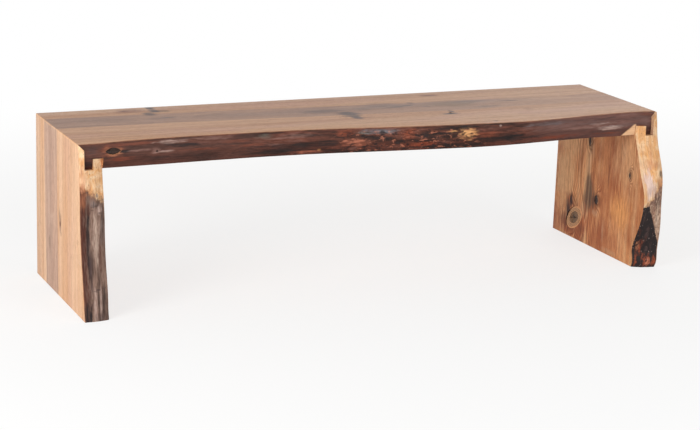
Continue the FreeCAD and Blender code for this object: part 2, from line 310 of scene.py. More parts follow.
def slab_outline(name, bow, along, thick):
    """The outline of (out, deep) at a station: show face, live edge, hidden face and back."""
    rows = np.linspace(0, 1, EDGE_ROWS)
    edge = []
    for share, out in zip(rows, np.polyval(bow, rows)):
        held = min(1.0, ARRIS_HOLD + ARRIS_FREE * min(share, 1 - share))
        edge.append((out + held * relief(name, along, share * thick), share * thick))
    first, last = edge[0][0], edge[-1][0]
    near = ROUND_SHARE * LIVE_ROUND
    upper = [(first - LIVE_ROUND, 0.0), (first - near, near)]
    lower = [(last - near, thick - near), (last - LIVE_ROUND, thick)]
    middle = [point for point in edge if LIVE_ROUND < point[1] < thick - LIVE_ROUND]
    cut = BACK_ROUND * (1 - math.sqrt(0.5))
    steps = [k / FACE_COLUMNS for k in range(FACE_COLUMNS)]
    show = [(BACK_ROUND + (first - LIVE_ROUND - BACK_ROUND) * step, 0.0) for step in steps]
    hidden = [(BACK_ROUND + (last - LIVE_ROUND - BACK_ROUND) * step, thick) for step in steps]
    start = [(0.0, BACK_ROUND), (cut, cut)]
    end = [(cut, thick - cut), (0.0, thick - BACK_ROUND)]
    return start + show + upper + middle + lower + hidden[::-1] + end


def turn_outwards(mesh, weld=None):
    """Weld points closer than a distance, if one is given, and turn all faces outwards."""
    work = bmesh.new()
    work.from_mesh(mesh)
    if weld is not None:
        bmesh.ops.remove_doubles(work, verts=work.verts, dist=weld)
    bmesh.ops.recalc_face_normals(work, faces=work.faces)
    work.to_mesh(mesh)
    work.free()


def new_piece(name, points, faces):
    """A mesh object from points and faces, with its faces turned outwards."""
    mesh = bpy.data.meshes.new(name)
    mesh.from_pydata(points, [], faces)
    turn_outwards(mesh)
    piece = bpy.data.objects.new(name, mesh)
    bpy.context.scene.collection.objects.link(piece)
    return piece


def stitch(rings, size):
    """Four-sided faces between rings of points that follow each other, each ring closed."""
    faces = []
    for row in range(rings - 1):
        for k in range(size):
            after = (k + 1) % size
            near, far = row * size, (row + 1) * size
            faces.append([near + k, near + after, far + after, far + k])
    return faces


def lay_up(name):
    place, start, stop, thick = SLABS[name][:4]
    stations, bows = edge_bow(name)
    runs = [(start - END_OVERRUN, bows[0]), *zip(stations, bows), (stop + END_OVERRUN, bows[-1])]
    loops = [slab_outline(name, bow, along, thick) for along, bow in runs]
    points = [place(along, *point) for (along, bow), loop in zip(runs, loops) for point in loop]
    ring = len(loops[0])
    ends = [list(range(ring)), list(range(len(points) - ring, len(points)))]
    return new_piece("carved_" + name, points, ends + stitch(len(loops), ring))


# %% [markdown]
# The corner joint is cut the way a workshop cuts it: the whole end of the slab goes through one
# profile. Here the profile is an outline seen from the front, drawn deep, and the slab keeps only
# what lies inside it. The cut runs through the live edge, so the tongues show their own lumpy ends.

# %% Cut the lock mitre
FOOT_EASE = 1.0 * MM
CUT_DEPTH = 0.5
ARC_STEPS = 5


def seat_corner():
    """The seat's half of the rounded corner, as (in from the end, down from the top)."""
    angles = np.linspace(math.pi / 2, 3 * math.pi / 4, ARC_STEPS)
    return [(ARRIS_ROUND * (1 + math.cos(a)), ARRIS_ROUND * (1 - math.sin(a))) for a in angles]


def joint_cut():
    """The line that the seat and the leg share, from the mitre in to the inner corner."""
    hook = MITRE_LIP + SEAT_TONGUE
    slot = SEAT_THICK - LEG_TONGUE_RISE
    return [
        (MITRE_LIP, MITRE_LIP),
        (MITRE_LIP, SEAT_THICK),
        (hook, SEAT_THICK),
        (hook, slot),
        (LEG_THICK, slot),
    ]


def seat_end():
    return seat_corner() + joint_cut() + [(LEG_THICK, SEAT_THICK)]


def leg_side():
    foot = [
        (LEG_THICK, HEIGHT - FOOT_EASE),
        (LEG_THICK - FOOT_EASE, HEIGHT),
        (FOOT_EASE, HEIGHT),
        (0.0, HEIGHT - FOOT_EASE),
    ]
    return [(down, along) for along, down in seat_corner()] + joint_cut() + foot


def profile(name):
    """The slab seen from the front, drawn deep."""
    end = seat_end() if name == "seat_slab" else leg_side()
    left = [(-HALF_LENGTH + x, HEIGHT - z) for x, z in end]
    right = [(HALF_LENGTH - x, HEIGHT - z) for x, z in end]
    outlines = {"seat_slab": left + right[::-1], "left_leg_slab": left, "right_leg_slab": right}
    outline = outlines[name]
    points = [(x, y, z) for y in (-CUT_DEPTH, CUT_DEPTH) for x, z in outline]
    count = len(outline)
    ends = [list(range(count)), list(range(count, 2 * count))]
    return new_piece("profile", points, ends + stitch(2, count))


def cut(piece, tool, operation):
    """Keep what is inside the tool (INTERSECT) or outside it (DIFFERENCE), and throw the tool away."""
    modifier = piece.modifiers.new("cut", "BOOLEAN")
    modifier.operation = operation
    modifier.solver = "EXACT"
    modifier.object = tool
    graph = bpy.context.evaluated_depsgraph_get()
    made = bpy.data.meshes.new_from_object(piece.evaluated_get(graph))
    piece.modifiers.clear()
    old = piece.data
    piece.data = made
    bpy.data.meshes.remove(old)
    bpy.data.objects.remove(tool)


slabs = {}
for name in SLABS:
    slabs[name] = lay_up(name)
    cut(slabs[name], profile(name), "INTERSECT")
    print(name, "has", len(slabs[name].data.polygons), "faces")

# %% [markdown]
# A dead knot is the stub of an old branch. Its bark never joined the wood around it, so it dries,
# shrinks and cracks in its own hole. Each one is a small body here: a disc of rings and spokes,
# pressed in at the middle, ridged by its growth rings and split by a few cracks, with a wall that
# goes down into the hole. Drawing it on rings and spokes puts the points where the cracks run.

# %% Where the knots sit and which way they lean
EYE, OVAL = "eye", "oval"
LEFTWARD, UPWARD, FORWARD = Vector((-1, 0, 0)), Vector((0, 0, 1)), Vector((0, -1, 0))
KNOT_FIT = 0.2 * MM

# Host, shape, direction it looks, length, width and depth in millimetres, and its turn in degrees
KNOTS = {
    "edge_knot": ("seat_slab", EYE, FORWARD, 44, 18, 14, 0),
    "seat_knot": ("seat_slab", EYE, UPWARD, 26, 13, 20, 60),
    "left_leg_knot": ("left_leg_slab", EYE, LEFTWARD, 18, 8, 18, 90),
    "right_leg_upper_knot": ("right_leg_slab", EYE, LEFTWARD, 44, 14, 22, 90),
    "right_leg_middle_knot": ("right_leg_slab", EYE, LEFTWARD, 30, 20, 18, 90),
    "right_leg_front_knot": ("right_leg_slab", EYE, LEFTWARD, 18, 10, 14, 90),
    "ring_knot_collar": ("right_leg_slab", OVAL, LEFTWARD, 104, 62, 36, 145),
    "ring_knot_heart": ("right_leg_slab", OVAL, LEFTWARD, 52, 34, 36, 145),
}


class Spot:
    """A knot's middle on its host's face, its two directions in that face, and its half sizes."""

    def __init__(self, name):
        self.host, self.shape, self.outward, length, width, depth, turn = KNOTS[name]
        low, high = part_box(name)
        self.middle = (low + high) / 2
        flat, rise = Vector((1, 0, 0)), Vector((0, 1, 0))
        if self.outward == LEFTWARD:
            flat, rise = Vector((0, 1, 0)), Vector((0, 0, 1))
        if self.outward == FORWARD:
            flat, rise = Vector((1, 0, 0)), Vector((0, 0, 1))
        lean = math.radians(turn)
        self.long = math.cos(lean) * flat + math.sin(lean) * rise
        self.short = math.cos(lean) * rise - math.sin(lean) * flat
        self.half_long = length * MM / 2
        self.half_short = width * MM / 2
        self.depth = depth * MM

    def edge(self, angle):
        """The outline at an angle, as distances along the two directions."""
        a, b = self.half_long, self.half_short
        x = a * math.cos(angle)
        if self.shape == OVAL:
            return x, b * math.sin(angle)
        radius = (a * a + b * b) / (2 * b)
        return x, math.copysign(math.sqrt(radius * radius - x * x) - (radius - b), math.sin(angle))

    def place(self, x, y, height):
        return self.middle + x * self.long + y * self.short + height * self.outward


spots = {name: Spot(name) for name in KNOTS}
SURFACE_PROBE = 0.1
RIM_PROBES = 12


def settle(name):
    """Move a spot's middle onto the surface of its host, at the lowest place round the knot."""
    spot = spots[name]
    tree = BVHTree.FromObject(slabs[spot.host], bpy.context.evaluated_depsgraph_get())
    heights = []
    for k in range(RIM_PROBES):
        x, y = spot.edge(math.tau * k / RIM_PROBES)
        start = spot.place(x, y, SURFACE_PROBE)
        hit = tree.ray_cast(start, -spot.outward)[0]
        if hit is not None:
            heights.append((hit - spot.middle).dot(spot.outward))
    spot.middle = spot.middle + min(heights) * spot.outward
    print(name, "sits", round(min(heights) / MM, 1), "mm from the middle of its solid")


for name in KNOTS:
    settle(name)

# %% Bore the holes
HOLE_SPOKES = 72
HOLE_REACH = 20 * MM


def bore(name):
    """Cut the knot's hole, whose outline is the knot's own, into its host."""
    spot = spots[name]
    angles = [math.tau * k / HOLE_SPOKES for k in range(HOLE_SPOKES)]
    levels = (HOLE_REACH, -spot.depth)
    points = [spot.place(*spot.edge(angle), level) for level in levels for angle in angles]
    ends = [list(range(HOLE_SPOKES)), list(range(HOLE_SPOKES, 2 * HOLE_SPOKES))]
    cut(slabs[spot.host], new_piece("bore", points, ends + stitch(2, HOLE_SPOKES)), "DIFFERENCE")


for name in KNOTS:
    if name != "ring_knot_heart":
        bore(name)
for name, slab in slabs.items():
    print(name, "has", len(slab.data.polygons), "faces after boring")

# %% [markdown]
# The plug of a knot is one skin: rings on the top, then the wall, then the bottom. The same maker
# serves the collar of the ring knot, whose skin starts at the hole for its heart and not at its
# middle, so the heart really sits in a bore.

# %% Make the plugs
SPOKES = 120
WALL_CLEAR = 1.0 * MM
WELD = 0.01 * MM
CRACK_WIDTH = 0.09
CRACK_NARROWEST = 0.2
RIDGE = 0.18 * MM
# How far a plug sits below its host in millimetres, and how many times deeper its rim sits
USUAL_SINK, RIM_SINKS = 0.5, 2
# A collar counts its rings from this share of the radius, where its bore ends
BORE_SHARE = 0.5
NO_GAP = (0.0, 1.0, 0.0)
ANGLES = [math.tau * k / SPOKES for k in range(SPOKES)]


def bell(angle, middle, half):
    """1 at the middle angle, fading to 0 over a half width."""
    return math.exp(-((math.remainder(angle - middle, math.tau) / half) ** 2))


def rim(name, fit=0.0, gap=NO_GAP):
    """The knot's outline, drawn in by a fit all round and by a gap.

    A gap is its middle angle, its half width and how many millimetres it opens.
    """
    spot = spots[name]
    middle, half, width = gap
    outline = []
    for angle in ANGLES:
        x, y = spot.edge(angle)
        drawn_in = 1 - (fit + width * MM * bell(angle, middle, half)) / spot.half_short
        outline.append((x * drawn_in, y * drawn_in))
    return outline


def plug_height(share, angle, rings, dish, cracks):
    """The height of a plug's top: dished, ridged by its rings and split along its cracks."""
    height = -dish * MM * (1 - share * share) + RIDGE * math.sin(math.tau * rings * share)
    for middle, depth, first, last in cracks:
        half = CRACK_WIDTH / max(share, CRACK_NARROWEST)
        height -= depth * MM * bell(angle, middle, half) * slope(share, first, last)
    return height


def make_plug(name, rows, rings, dish, cracks, sunk=USUAL_SINK, bored_for=None, gap=NO_GAP):
    """A plug's skin, from its middle (or the bore for another plug) to its rim and down its wall."""
    spot = spots[name]
    outer = rim(name, KNOT_FIT, gap)
    inner = rim(bored_for) if bored_for else [(0.0, 0.0)] * SPOKES
    starts_at = BORE_SHARE if bored_for else 0.0
    points = []
    for row in range(rows):
        share = row / (rows - 1)
        for k, angle in enumerate(ANGLES):
            x = inner[k][0] + (outer[k][0] - inner[k][0]) * share
            y = inner[k][1] + (outer[k][1] - inner[k][1]) * share
            height = plug_height(starts_at + (1 - starts_at) * share, angle, rings, dish, cracks)
            height -= sunk * MM * (RIM_SINKS if row == rows - 1 else 1)
            points.append(spot.place(x, y, height))
    floor = WALL_CLEAR - spot.depth
    points += [spot.place(x, y, floor) for x, y in outer]
    faces = stitch(rows + 1, SPOKES)
    last = rows * SPOKES
    if bored_for:
        points += [spot.place(x, y, floor) for x, y in inner]
        faces = stitch(rows + 2, SPOKES)
        last += SPOKES
        faces += [[last + k, last + (k + 1) % SPOKES, (k + 1) % SPOKES, k] for k in range(SPOKES)]
    else:
        faces.append(list(range(last, last + SPOKES)))
    piece = new_piece("plug_" + name, points, faces)
    turn_outwards(piece.data, WELD)
    return piece


# Cracks: angle, depth in millimetres, and the shares of the radius between which they open
MIDDLE_CRACKS = [(0.9, 1.4, 0.1, 0.4), (2.6, 1.2, 0.2, 0.5), (4.4, 1.6, 0.1, 0.4)]
HEART_CRACKS = [(0.6, 2.4, 0.0, 0.3), (2.4, 1.6, 0.2, 0.5), (3.7, 2.6, 0.0, 0.3), (5.1, 1.4, 0.3, 0.6)]
# Rows, growth rings, dish in millimetres, cracks, and how far it has sunk in millimetres
PLUGS = {
    "edge_knot": (16, 5, 2.2, [(0.4, 1.4, 0.1, 0.4), (2.9, 1.6, 0.2, 0.5), (4.6, 1.0, 0.3, 0.6)]),
    "seat_knot": (12, 3, 0.6, [(0.2, 1.0, 0.1, 0.3), (3.3, 1.2, 0.1, 0.3)]),
    "left_leg_knot": (12, 3, 0.6, [(0.1, 1.0, 0.1, 0.3), (3.2, 1.0, 0.1, 0.3)]),
    "right_leg_upper_knot": (14, 4, 0.9, [(0.1, 1.4, 0.1, 0.3), (3.0, 1.6, 0.1, 0.3)]),
    "right_leg_middle_knot": (14, 5, 0.9, MIDDLE_CRACKS),
    "right_leg_front_knot": (12, 3, 0.6, [(0.3, 1.0, 0.1, 0.3), (3.5, 1.0, 0.1, 0.3)]),
    "ring_knot_heart": (16, 6, 0.7, HEART_CRACKS, 0.1),
}
plugs = {name: make_plug(name, *shape) for name, shape in PLUGS.items()}
# The collar's drying crack is on its back and lower side, at the angle given here
COLLAR_GAP = (-2.30, 0.85, 4.4)
COLLAR_CRACKS = [(0.9, 1.2, 0.6, 0.8), (5.9, 1.0, 0.7, 0.9)]
plugs["ring_knot_collar"] = make_plug(
    "ring_knot_collar", 22, 9, 0.2, COLLAR_CRACKS, 0.05, "ring_knot_heart", COLLAR_GAP
)
print("plugs", {name: len(plug.data.polygons) for name, plug in plugs.items()})

# %% [markdown]
# Every finish is written as sums on node sockets. A node tree drawn by hand hides what it works
# out, and a sum such as 1 - mask can be read. This class wraps one socket: sums of wires and
# numbers add Math nodes, and one method adds any other node from its settings and its sockets.

# %% A socket that can be used in sums
class Wire:
    """One output of a node tree."""

    def __init__(self, tree, socket=None):
        self.tree = tree
        self.socket = socket

    def node(self, kind, settings=None, feeds=None, output=0):
        """Add a node: its settings first, then a value or a wire for each of its inputs."""
        made = self.tree.nodes.new(kind)
        for name, value in (settings or {}).items():
            setattr(made, name, value)
        for name, value in (feeds or {}).items():
            if isinstance(value, Wire):
                self.tree.links.new(value.socket, made.inputs[name])
            else:
                made.inputs[name].default_value = value
        return Wire(self.tree, made.outputs[output])

    def maths(self, operation, *values):
        return self.node("ShaderNodeMath", {"operation": operation}, dict(enumerate(values)))

    def vectors(self, operation, *values, output=0):
        settings = {"operation": operation}
        return self.node("ShaderNodeVectorMath", settings, dict(enumerate(values)), output)

    def __add__(self, other):
        return self.maths("ADD", self, other)

    __radd__ = __add__

    def __sub__(self, other):
        return self.maths("SUBTRACT", self, other)

    def __rsub__(self, other):
        return self.maths("SUBTRACT", other, self)

    def __mul__(self, other):
        return self.maths("MULTIPLY", self, other)

    def __pow__(self, other):
        return self.maths("POWER", self, other)


def smooth(value, low, high):
    """0 at low, 1 at high, with an even slope between; low may be the larger one."""
    feeds = {"Value": value, "From Min": low, "From Max": high}
    return value.node("ShaderNodeMapRange", {"interpolation_type": "SMOOTHSTEP"}, feeds)


def shows(value, low, high, share=1.0):
    """How strongly something shows: nothing at low, and its share at high."""
    mask = smooth(value, low, high)
    return mask if share == 1.0 else mask * share


def swing(noise, reach):
    """Noise turned into a shift of up to half the reach to either side."""
    return (noise - 0.5) * reach


def blend(mask, first, second):
    """The first colour where the mask is 0, and the second where it is 1."""
    return mask.node("ShaderNodeMix", {"data_type": "RGBA"}, {0: mask, 6: first, 7: second}, 2)


def tint(mask, colour, shade):
    """The colour, multiplied by a shade where the mask is 1."""
    settings = {"data_type": "RGBA", "blend_type": "MULTIPLY"}
    return mask.node("ShaderNodeMix", settings, {0: mask, 6: colour, 7: shade}, 2)


def noisy(place, lumps, seed, detail=2.0, roughness=0.5, distortion=0.0):
    """Noise with so many lumps per metre along, out and deep."""
    moved = place.vectors("MULTIPLY_ADD", place, lumps, (seed, seed, seed))
    feeds = {"Vector": moved, "Scale": 1.0, "Detail": detail}
    feeds.update({"Roughness": roughness, "Distortion": distortion})
    return place.node("ShaderNodeTexNoise", None, feeds)


def colour(red, green, blue):
    """A colour as a paint chart gives it, from 0 to 255, turned into light by the sRGB curve."""
    shares = [value / 255 for value in (red, green, blue)]
    light = [share / 12.92 if share <= 0.04045 else ((share + 0.055) / 1.055) ** 2.4 for share in shares]
    return (*light, 1.0)


# %% [markdown]
# All the wood is one log, so all of it is drawn in one set of directions: along the unfolded board,
# out from the back, and deep below the show face. A leg simply carries on where the seat stops. The
# stripes then fall over both corners by themselves, as they do in a waterfall joint.

# %% The directions of the unfolded board
def board_place(tree, name):
    """The place in the unfolded board, as one vector wire."""
    here = Wire(tree).node("ShaderNodeTexCoord", output=3)
    split = here.node("ShaderNodeSeparateXYZ", None, {0: here})
    x, y, z = (Wire(tree, split.socket.node.outputs[k]) for k in range(3))
    past_corner = HALF_LENGTH + HEIGHT
    along, deep = {
        "seat_slab": (x, HEIGHT - z),
        "left_leg_slab": (z - past_corner, x + HALF_LENGTH),
        "right_leg_slab": (past_corner - z, HALF_LENGTH - x),
    }[name]
    return x.node("ShaderNodeCombineXYZ", None, {0: along, 1: BACK - y, 2: deep})


def parts(place):
    split = place.node("ShaderNodeSeparateXYZ", None, {0: place})
    return [Wire(place.tree, split.socket.node.outputs[k]) for k in range(3)]


def from_left(millimetres):
    return millimetres * MM - HALF_LENGTH


def down_leg(side, millimetres):
    return side * (HALF_LENGTH + millimetres * MM)


def down_board(name, millimetres):
    """A distance from the seat's left end, or down a leg, turned into a place along the board."""
    if name == "seat_slab":
        return from_left(millimetres)
    return down_leg(-1 if name == "left_leg_slab" else 1, millimetres)


def corner_distance(name, place):
    """How far down a leg a place is, from the top corner."""
    side = -1 if name == "left_leg_slab" else 1
    return parts(place)[0] * side - HALF_LENGTH


# A painted highlight along a leg's top corner, as if its rounded arris caught the light,
# down from the corner
HIGHLIGHT_ENDS, HIGHLIGHT_FULL = 7 * MM, ARRIS_ROUND / 2


def away_from(place, middle, half):
    """The distance from a middle, in half sizes. A half size of None reaches for ever."""
    scale = [0.0 if size is None else 1 / size for size in half]
    moved = [-value * factor for value, factor in zip(middle, scale)]
    away = place.vectors("MULTIPLY_ADD", place, tuple(scale), tuple(moved))
    return away.vectors("LENGTH", away, output=1)


def spot_mask(place, middle, half):
    """1 in the middle of an ellipse, fading to 0 at its edge."""
    return smooth(away_from(place, middle, half), 1.0, 0.0)


TORN = 1.8
TORN_CORE = 0.30


def torn_patch(place, grain, middle, half):
    """1 inside an ellipse whose outline is torn by the grain, and 0 outside."""
    return smooth(away_from(place, middle, half) + swing(grain, TORN), 1.0, TORN_CORE)


# %% [markdown]
# Inside a log the growth rings are tubes round the pith. The slab was cut flat, above the pith, so
# on the show face the tubes come out as long arches, and near the knots they flow round them. The
# heartwood shows as a darker, greyer stripe on the show face, and fills most of the hidden face,
# which is nearer to the pith. All that is worked out here from the distance to a wandering pith.

# %% The growth rings
PITH_OUT, PITH_DEEP = 0.165, 0.150
RING_GAP = 5.5 * MM
# Each noise: its lumps per metre along, out and deep, then its seed, detail, roughness and distortion
WANDER = ((1.1, 5.0, 5.0), SEEDS["seat_slab"], 1.0)
WANDER_FAR = 0.050
WAVE = ((5.0, 26.0, 26.0), SEEDS["left_leg_slab"], 2.0)
WAVE_FAR = 0.010
# How much nearer to the show face the pith comes with each metre along the board
PITH_TILT = 0.02

# Knots that the grain flows round: middle along, out and deep, and how far along and out they push
GRAIN_KNOTS = {
    "seat_slab": [
        (from_left(261), 0.042, 0.0, 0.075, 0.030),
        (from_left(833), 0.250, 0.0, 0.070, 0.060),
        (from_left(1124), 0.296, 0.0, 0.055, 0.026),
        (from_left(1178), 0.045, 0.0, 0.050, 0.024),
        (from_left(620), 0.200, SEAT_THICK, 0.120, 0.050),
        (from_left(1290), 0.150, SEAT_THICK, 0.150, 0.060),
    ],
    "left_leg_slab": [
        (down_leg(-1, 252), 0.243, 0.0, 0.050, 0.018),
        (down_leg(-1, 327), 0.133, 0.0, 0.040, 0.016),
        (down_leg(-1, 300), 0.300, LEG_THICK, 0.110, 0.050),
    ],
    "right_leg_slab": [
        (down_leg(1, 391), 0.123, LEG_THICK, 0.130, 0.070),
        (down_leg(1, 306), 0.246, LEG_THICK, 0.070, 0.036),
        (down_leg(1, 102), 0.188, LEG_THICK, 0.080, 0.028),
        (down_leg(1, 190), 0.420, LEG_THICK, 0.045, 0.020),
        (down_leg(1, 200), 0.250, 0.0, 0.080, 0.034),
    ],
}
KNOT_REACH_DEEP = 0.045
FLOW = 0.45
RINGS_ROUND_KNOT = 5.0


def ring_phase(place, name):
    """How many rings lie between the pith and here, and the mask of the wood near knots."""
    along, out, deep = parts(place)
    disturbed, bulge = None, 0.0
    for middle, knot_out, knot_deep, half_long, half_out in GRAIN_KNOTS[name]:
        mask = spot_mask(place, (middle, knot_out, knot_deep), (half_long, half_out, KNOT_REACH_DEEP))
        out = out - (out - knot_out) * mask * FLOW
        bulge = mask * RINGS_ROUND_KNOT + bulge
        disturbed = mask if disturbed is None else disturbed.maths("MAXIMUM", disturbed, mask)
    wander = noisy(place, *WANDER)
    wave = noisy(place, *WAVE)
    out = out + swing(wander, WANDER_FAR) + swing(wave, WAVE_FAR)
    far_out = out - PITH_OUT
    far_deep = deep - (wander * WANDER_FAR + PITH_DEEP) + along * PITH_TILT
    distance = (far_out * far_out + far_deep * far_deep) ** 0.5
    return distance * (1 / RING_GAP) + bulge, disturbed


# %% The stripes of the show face
# The heartwood stripe: its back edge and its front edge, as (along, out) down the unfolded board
STRIPE_BACK = [
    (-1.32, 0.102),
    (-0.863, 0.090),
    (-0.31, 0.105),
    (-0.08, 0.122),
    (0.14, 0.133),
    (0.863, 0.146),
    (1.32, 0.150),
]
STRIPE_FRONT = [
    (-1.32, 0.219),
    (-0.863, 0.213),
    (-0.42, 0.222),
    (-0.11, 0.239),
    (0.06, 0.250),
    (0.36, 0.261),
    (0.50, 0.252),
    (1.32, 0.250),
]
STRIPE_GROWS = 1.3
STRIPE_SOFT, STRIPE_FRONT_SOFT = 0.007, 0.0028
STRIPE_RAGS, STRIPE_RAGGED = ((4.0, 30.0, 30.0), 7.7, 3.0), 0.016
# Towards the right end of the seat the stripe fades into the sapwood
STRIPE_FADES, STRIPE_FADED, STRIPE_LOSS = 0.25, 0.80, 0.65
CURVE_RANGE = 1.4
OUT_RANGE = 0.5


def curve_share(along):
    """A place along the board, as a share of the curve's range."""
    return along * (0.5 / CURVE_RANGE) + 0.5


def along_curve(along, points):
    """A line drawn through (along, out) points, as a wire of out."""
    made = along.node("ShaderNodeFloatCurve", None, {"Value": curve_share(along)})
    curve = made.socket.node.mapping.curves[0]
    while len(curve.points) < len(points):
        curve.points.new(0.5, 0.5)
    for point, (place, out) in zip(curve.points, points):
        point.location = (curve_share(place), out / OUT_RANGE)
    made.socket.node.mapping.update()
    return made * OUT_RANGE


def stripe_mask(place):
    """1 in the heartwood, which grows wider under the show face."""
    along, out, deep = parts(place)
    grown = deep * STRIPE_GROWS
    out = out + swing(noisy(place, *STRIPE_RAGS), STRIPE_RAGGED)
    behind = out - along_curve(along, STRIPE_BACK) + grown
    before = along_curve(along, STRIPE_FRONT) + grown - out
    past_back = smooth(behind, -STRIPE_SOFT, STRIPE_SOFT)
    return past_back * smooth(before, -STRIPE_FRONT_SOFT, STRIPE_FRONT_SOFT)


# %% [markdown]
# The colours of the faces follow the photograph: a pinkish tan sapwood, a taupe heartwood, and an
# orange brown on the hidden faces that lie nearer to the pith. Each mark on a face, such as the dark
# feather near the middle of the seat, is made of ellipses whose outlines the grain tears.

# %% Colours of the sawn wood
SAPWOOD, SAPWOOD_DEEP = colour(212, 170, 136), colour(194, 148, 114)
HEARTWOOD, HEARTWOOD_GREY = colour(178, 142, 120), colour(160, 130, 114)
LEG_SAPWOOD, LEG_SAPWOOD_DEEP = colour(230, 192, 156), colour(216, 168, 126)
LEG_HEARTWOOD, LEG_HEARTWOOD_GREY = colour(202, 166, 142), colour(188, 156, 136)
SAPWOOD_PINK, LEG_SAPWOOD_PINK = colour(204, 160, 138), colour(216, 172, 144)
SAWN_TONES = {
    "seat": (SAPWOOD, SAPWOOD_DEEP, SAPWOOD_PINK, HEARTWOOD, HEARTWOOD_GREY),
    "leg": (LEG_SAPWOOD, LEG_SAPWOOD_DEEP, LEG_SAPWOOD_PINK, LEG_HEARTWOOD, LEG_HEARTWOOD_GREY),
}
PALE_AMBER, AMBER, AMBER_DEEP = colour(242, 196, 146), colour(226, 162, 110), colour(180, 108, 68)
GOLD_GLOW = colour(250, 184, 116)
RED_KNOT = colour(128, 84, 66)
SLATE = colour(116, 102, 98)
SMUDGE = colour(134, 108, 84)
LATEWOOD = colour(200, 174, 158)
AMBER_LATE = colour(176, 140, 118)
PORE = colour(150, 124, 108)

# The dark stain colour also paints the shade in the crack beside the ring knot
STAIN_AND_CRACK_SHADE, BLUE_STAIN = colour(84, 52, 40), colour(98, 84, 82)
PALE_TAN = colour(222, 186, 148)

# In millimetres: middle along, out from the back, half length, half width; then colour and strength.
# The seat's marks are counted from its left end, and the legs' from the top corner.
SHOW_MARKS = {
    "seat_slab": [
        (250, 44, 60, 32, RED_KNOT, 0.55),
        (236, 42, 18, 13, RED_KNOT, 0.85),
        (320, 16, 18, 30, BLUE_STAIN, 1.00),
        (322, 56, 24, 28, BLUE_STAIN, 1.00),
        (296, 94, 24, 30, BLUE_STAIN, 0.85),
        (348, 60, 22, 26, SMUDGE, 0.70),
        (304, 20, 7, 30, PALE_TAN, 0.60),
        (331, 148, 28, 8, SLATE, 0.75),
        (300, 156, 60, 12, SLATE, 0.35),
        (95, 135, 24, 8, SMUDGE, 0.65),
        (470, 150, 60, 16, SMUDGE, 0.30),
        (780, 185, 90, 34, BLUE_STAIN, 0.60),
        (836, 235, 42, 48, BLUE_STAIN, 0.95),
        (838, 282, 24, 36, BLUE_STAIN, 0.95),
        (870, 287, 24, 9, RED_KNOT, 0.60),
        (900, 178, 40, 30, SLATE, 0.35),
        (975, 150, 95, 42, SLATE, 0.50),
        (1006, 178, 40, 8, BLUE_STAIN, 0.90),
        (1050, 166, 20, 12, BLUE_STAIN, 0.70),
        (1072, 142, 14, 22, BLUE_STAIN, 0.55),
        (1120, 302, 34, 16, BLUE_STAIN, 0.90),
        (1137, 274, 10, 26, BLUE_STAIN, 0.95),
        (1097, 192, 16, 12, SLATE, 0.45),
        (1190, 175, 110, 60, SMUDGE, 0.60),
        (1250, 155, 70, 28, SLATE, 0.50),
        (1380, 176, 60, 8, STAIN_AND_CRACK_SHADE, 0.70),
        (1178, 45, 40, 16, RED_KNOT, 0.80),
        (1270, 235, 60, 14, SLATE, 0.45),
        (1200, 425, 10, 10, STAIN_AND_CRACK_SHADE, 0.60),
        (1375, 300, 20, 30, RED_KNOT, 0.30),
    ],
    "left_leg_slab": [
        (250, 243, 40, 13, RED_KNOT, 0.60),
        (228, 234, 24, 8, SMUDGE, 0.60),
        (329, 133, 20, 10, SMUDGE, 0.65),
        (320, 150, 70, 24, HEARTWOOD_GREY, 0.40),
    ],
    "right_leg_slab": [
        (200, 250, 60, 26, RED_KNOT, 0.60),
        (340, 120, 50, 18, SMUDGE, 0.50),
    ],
}
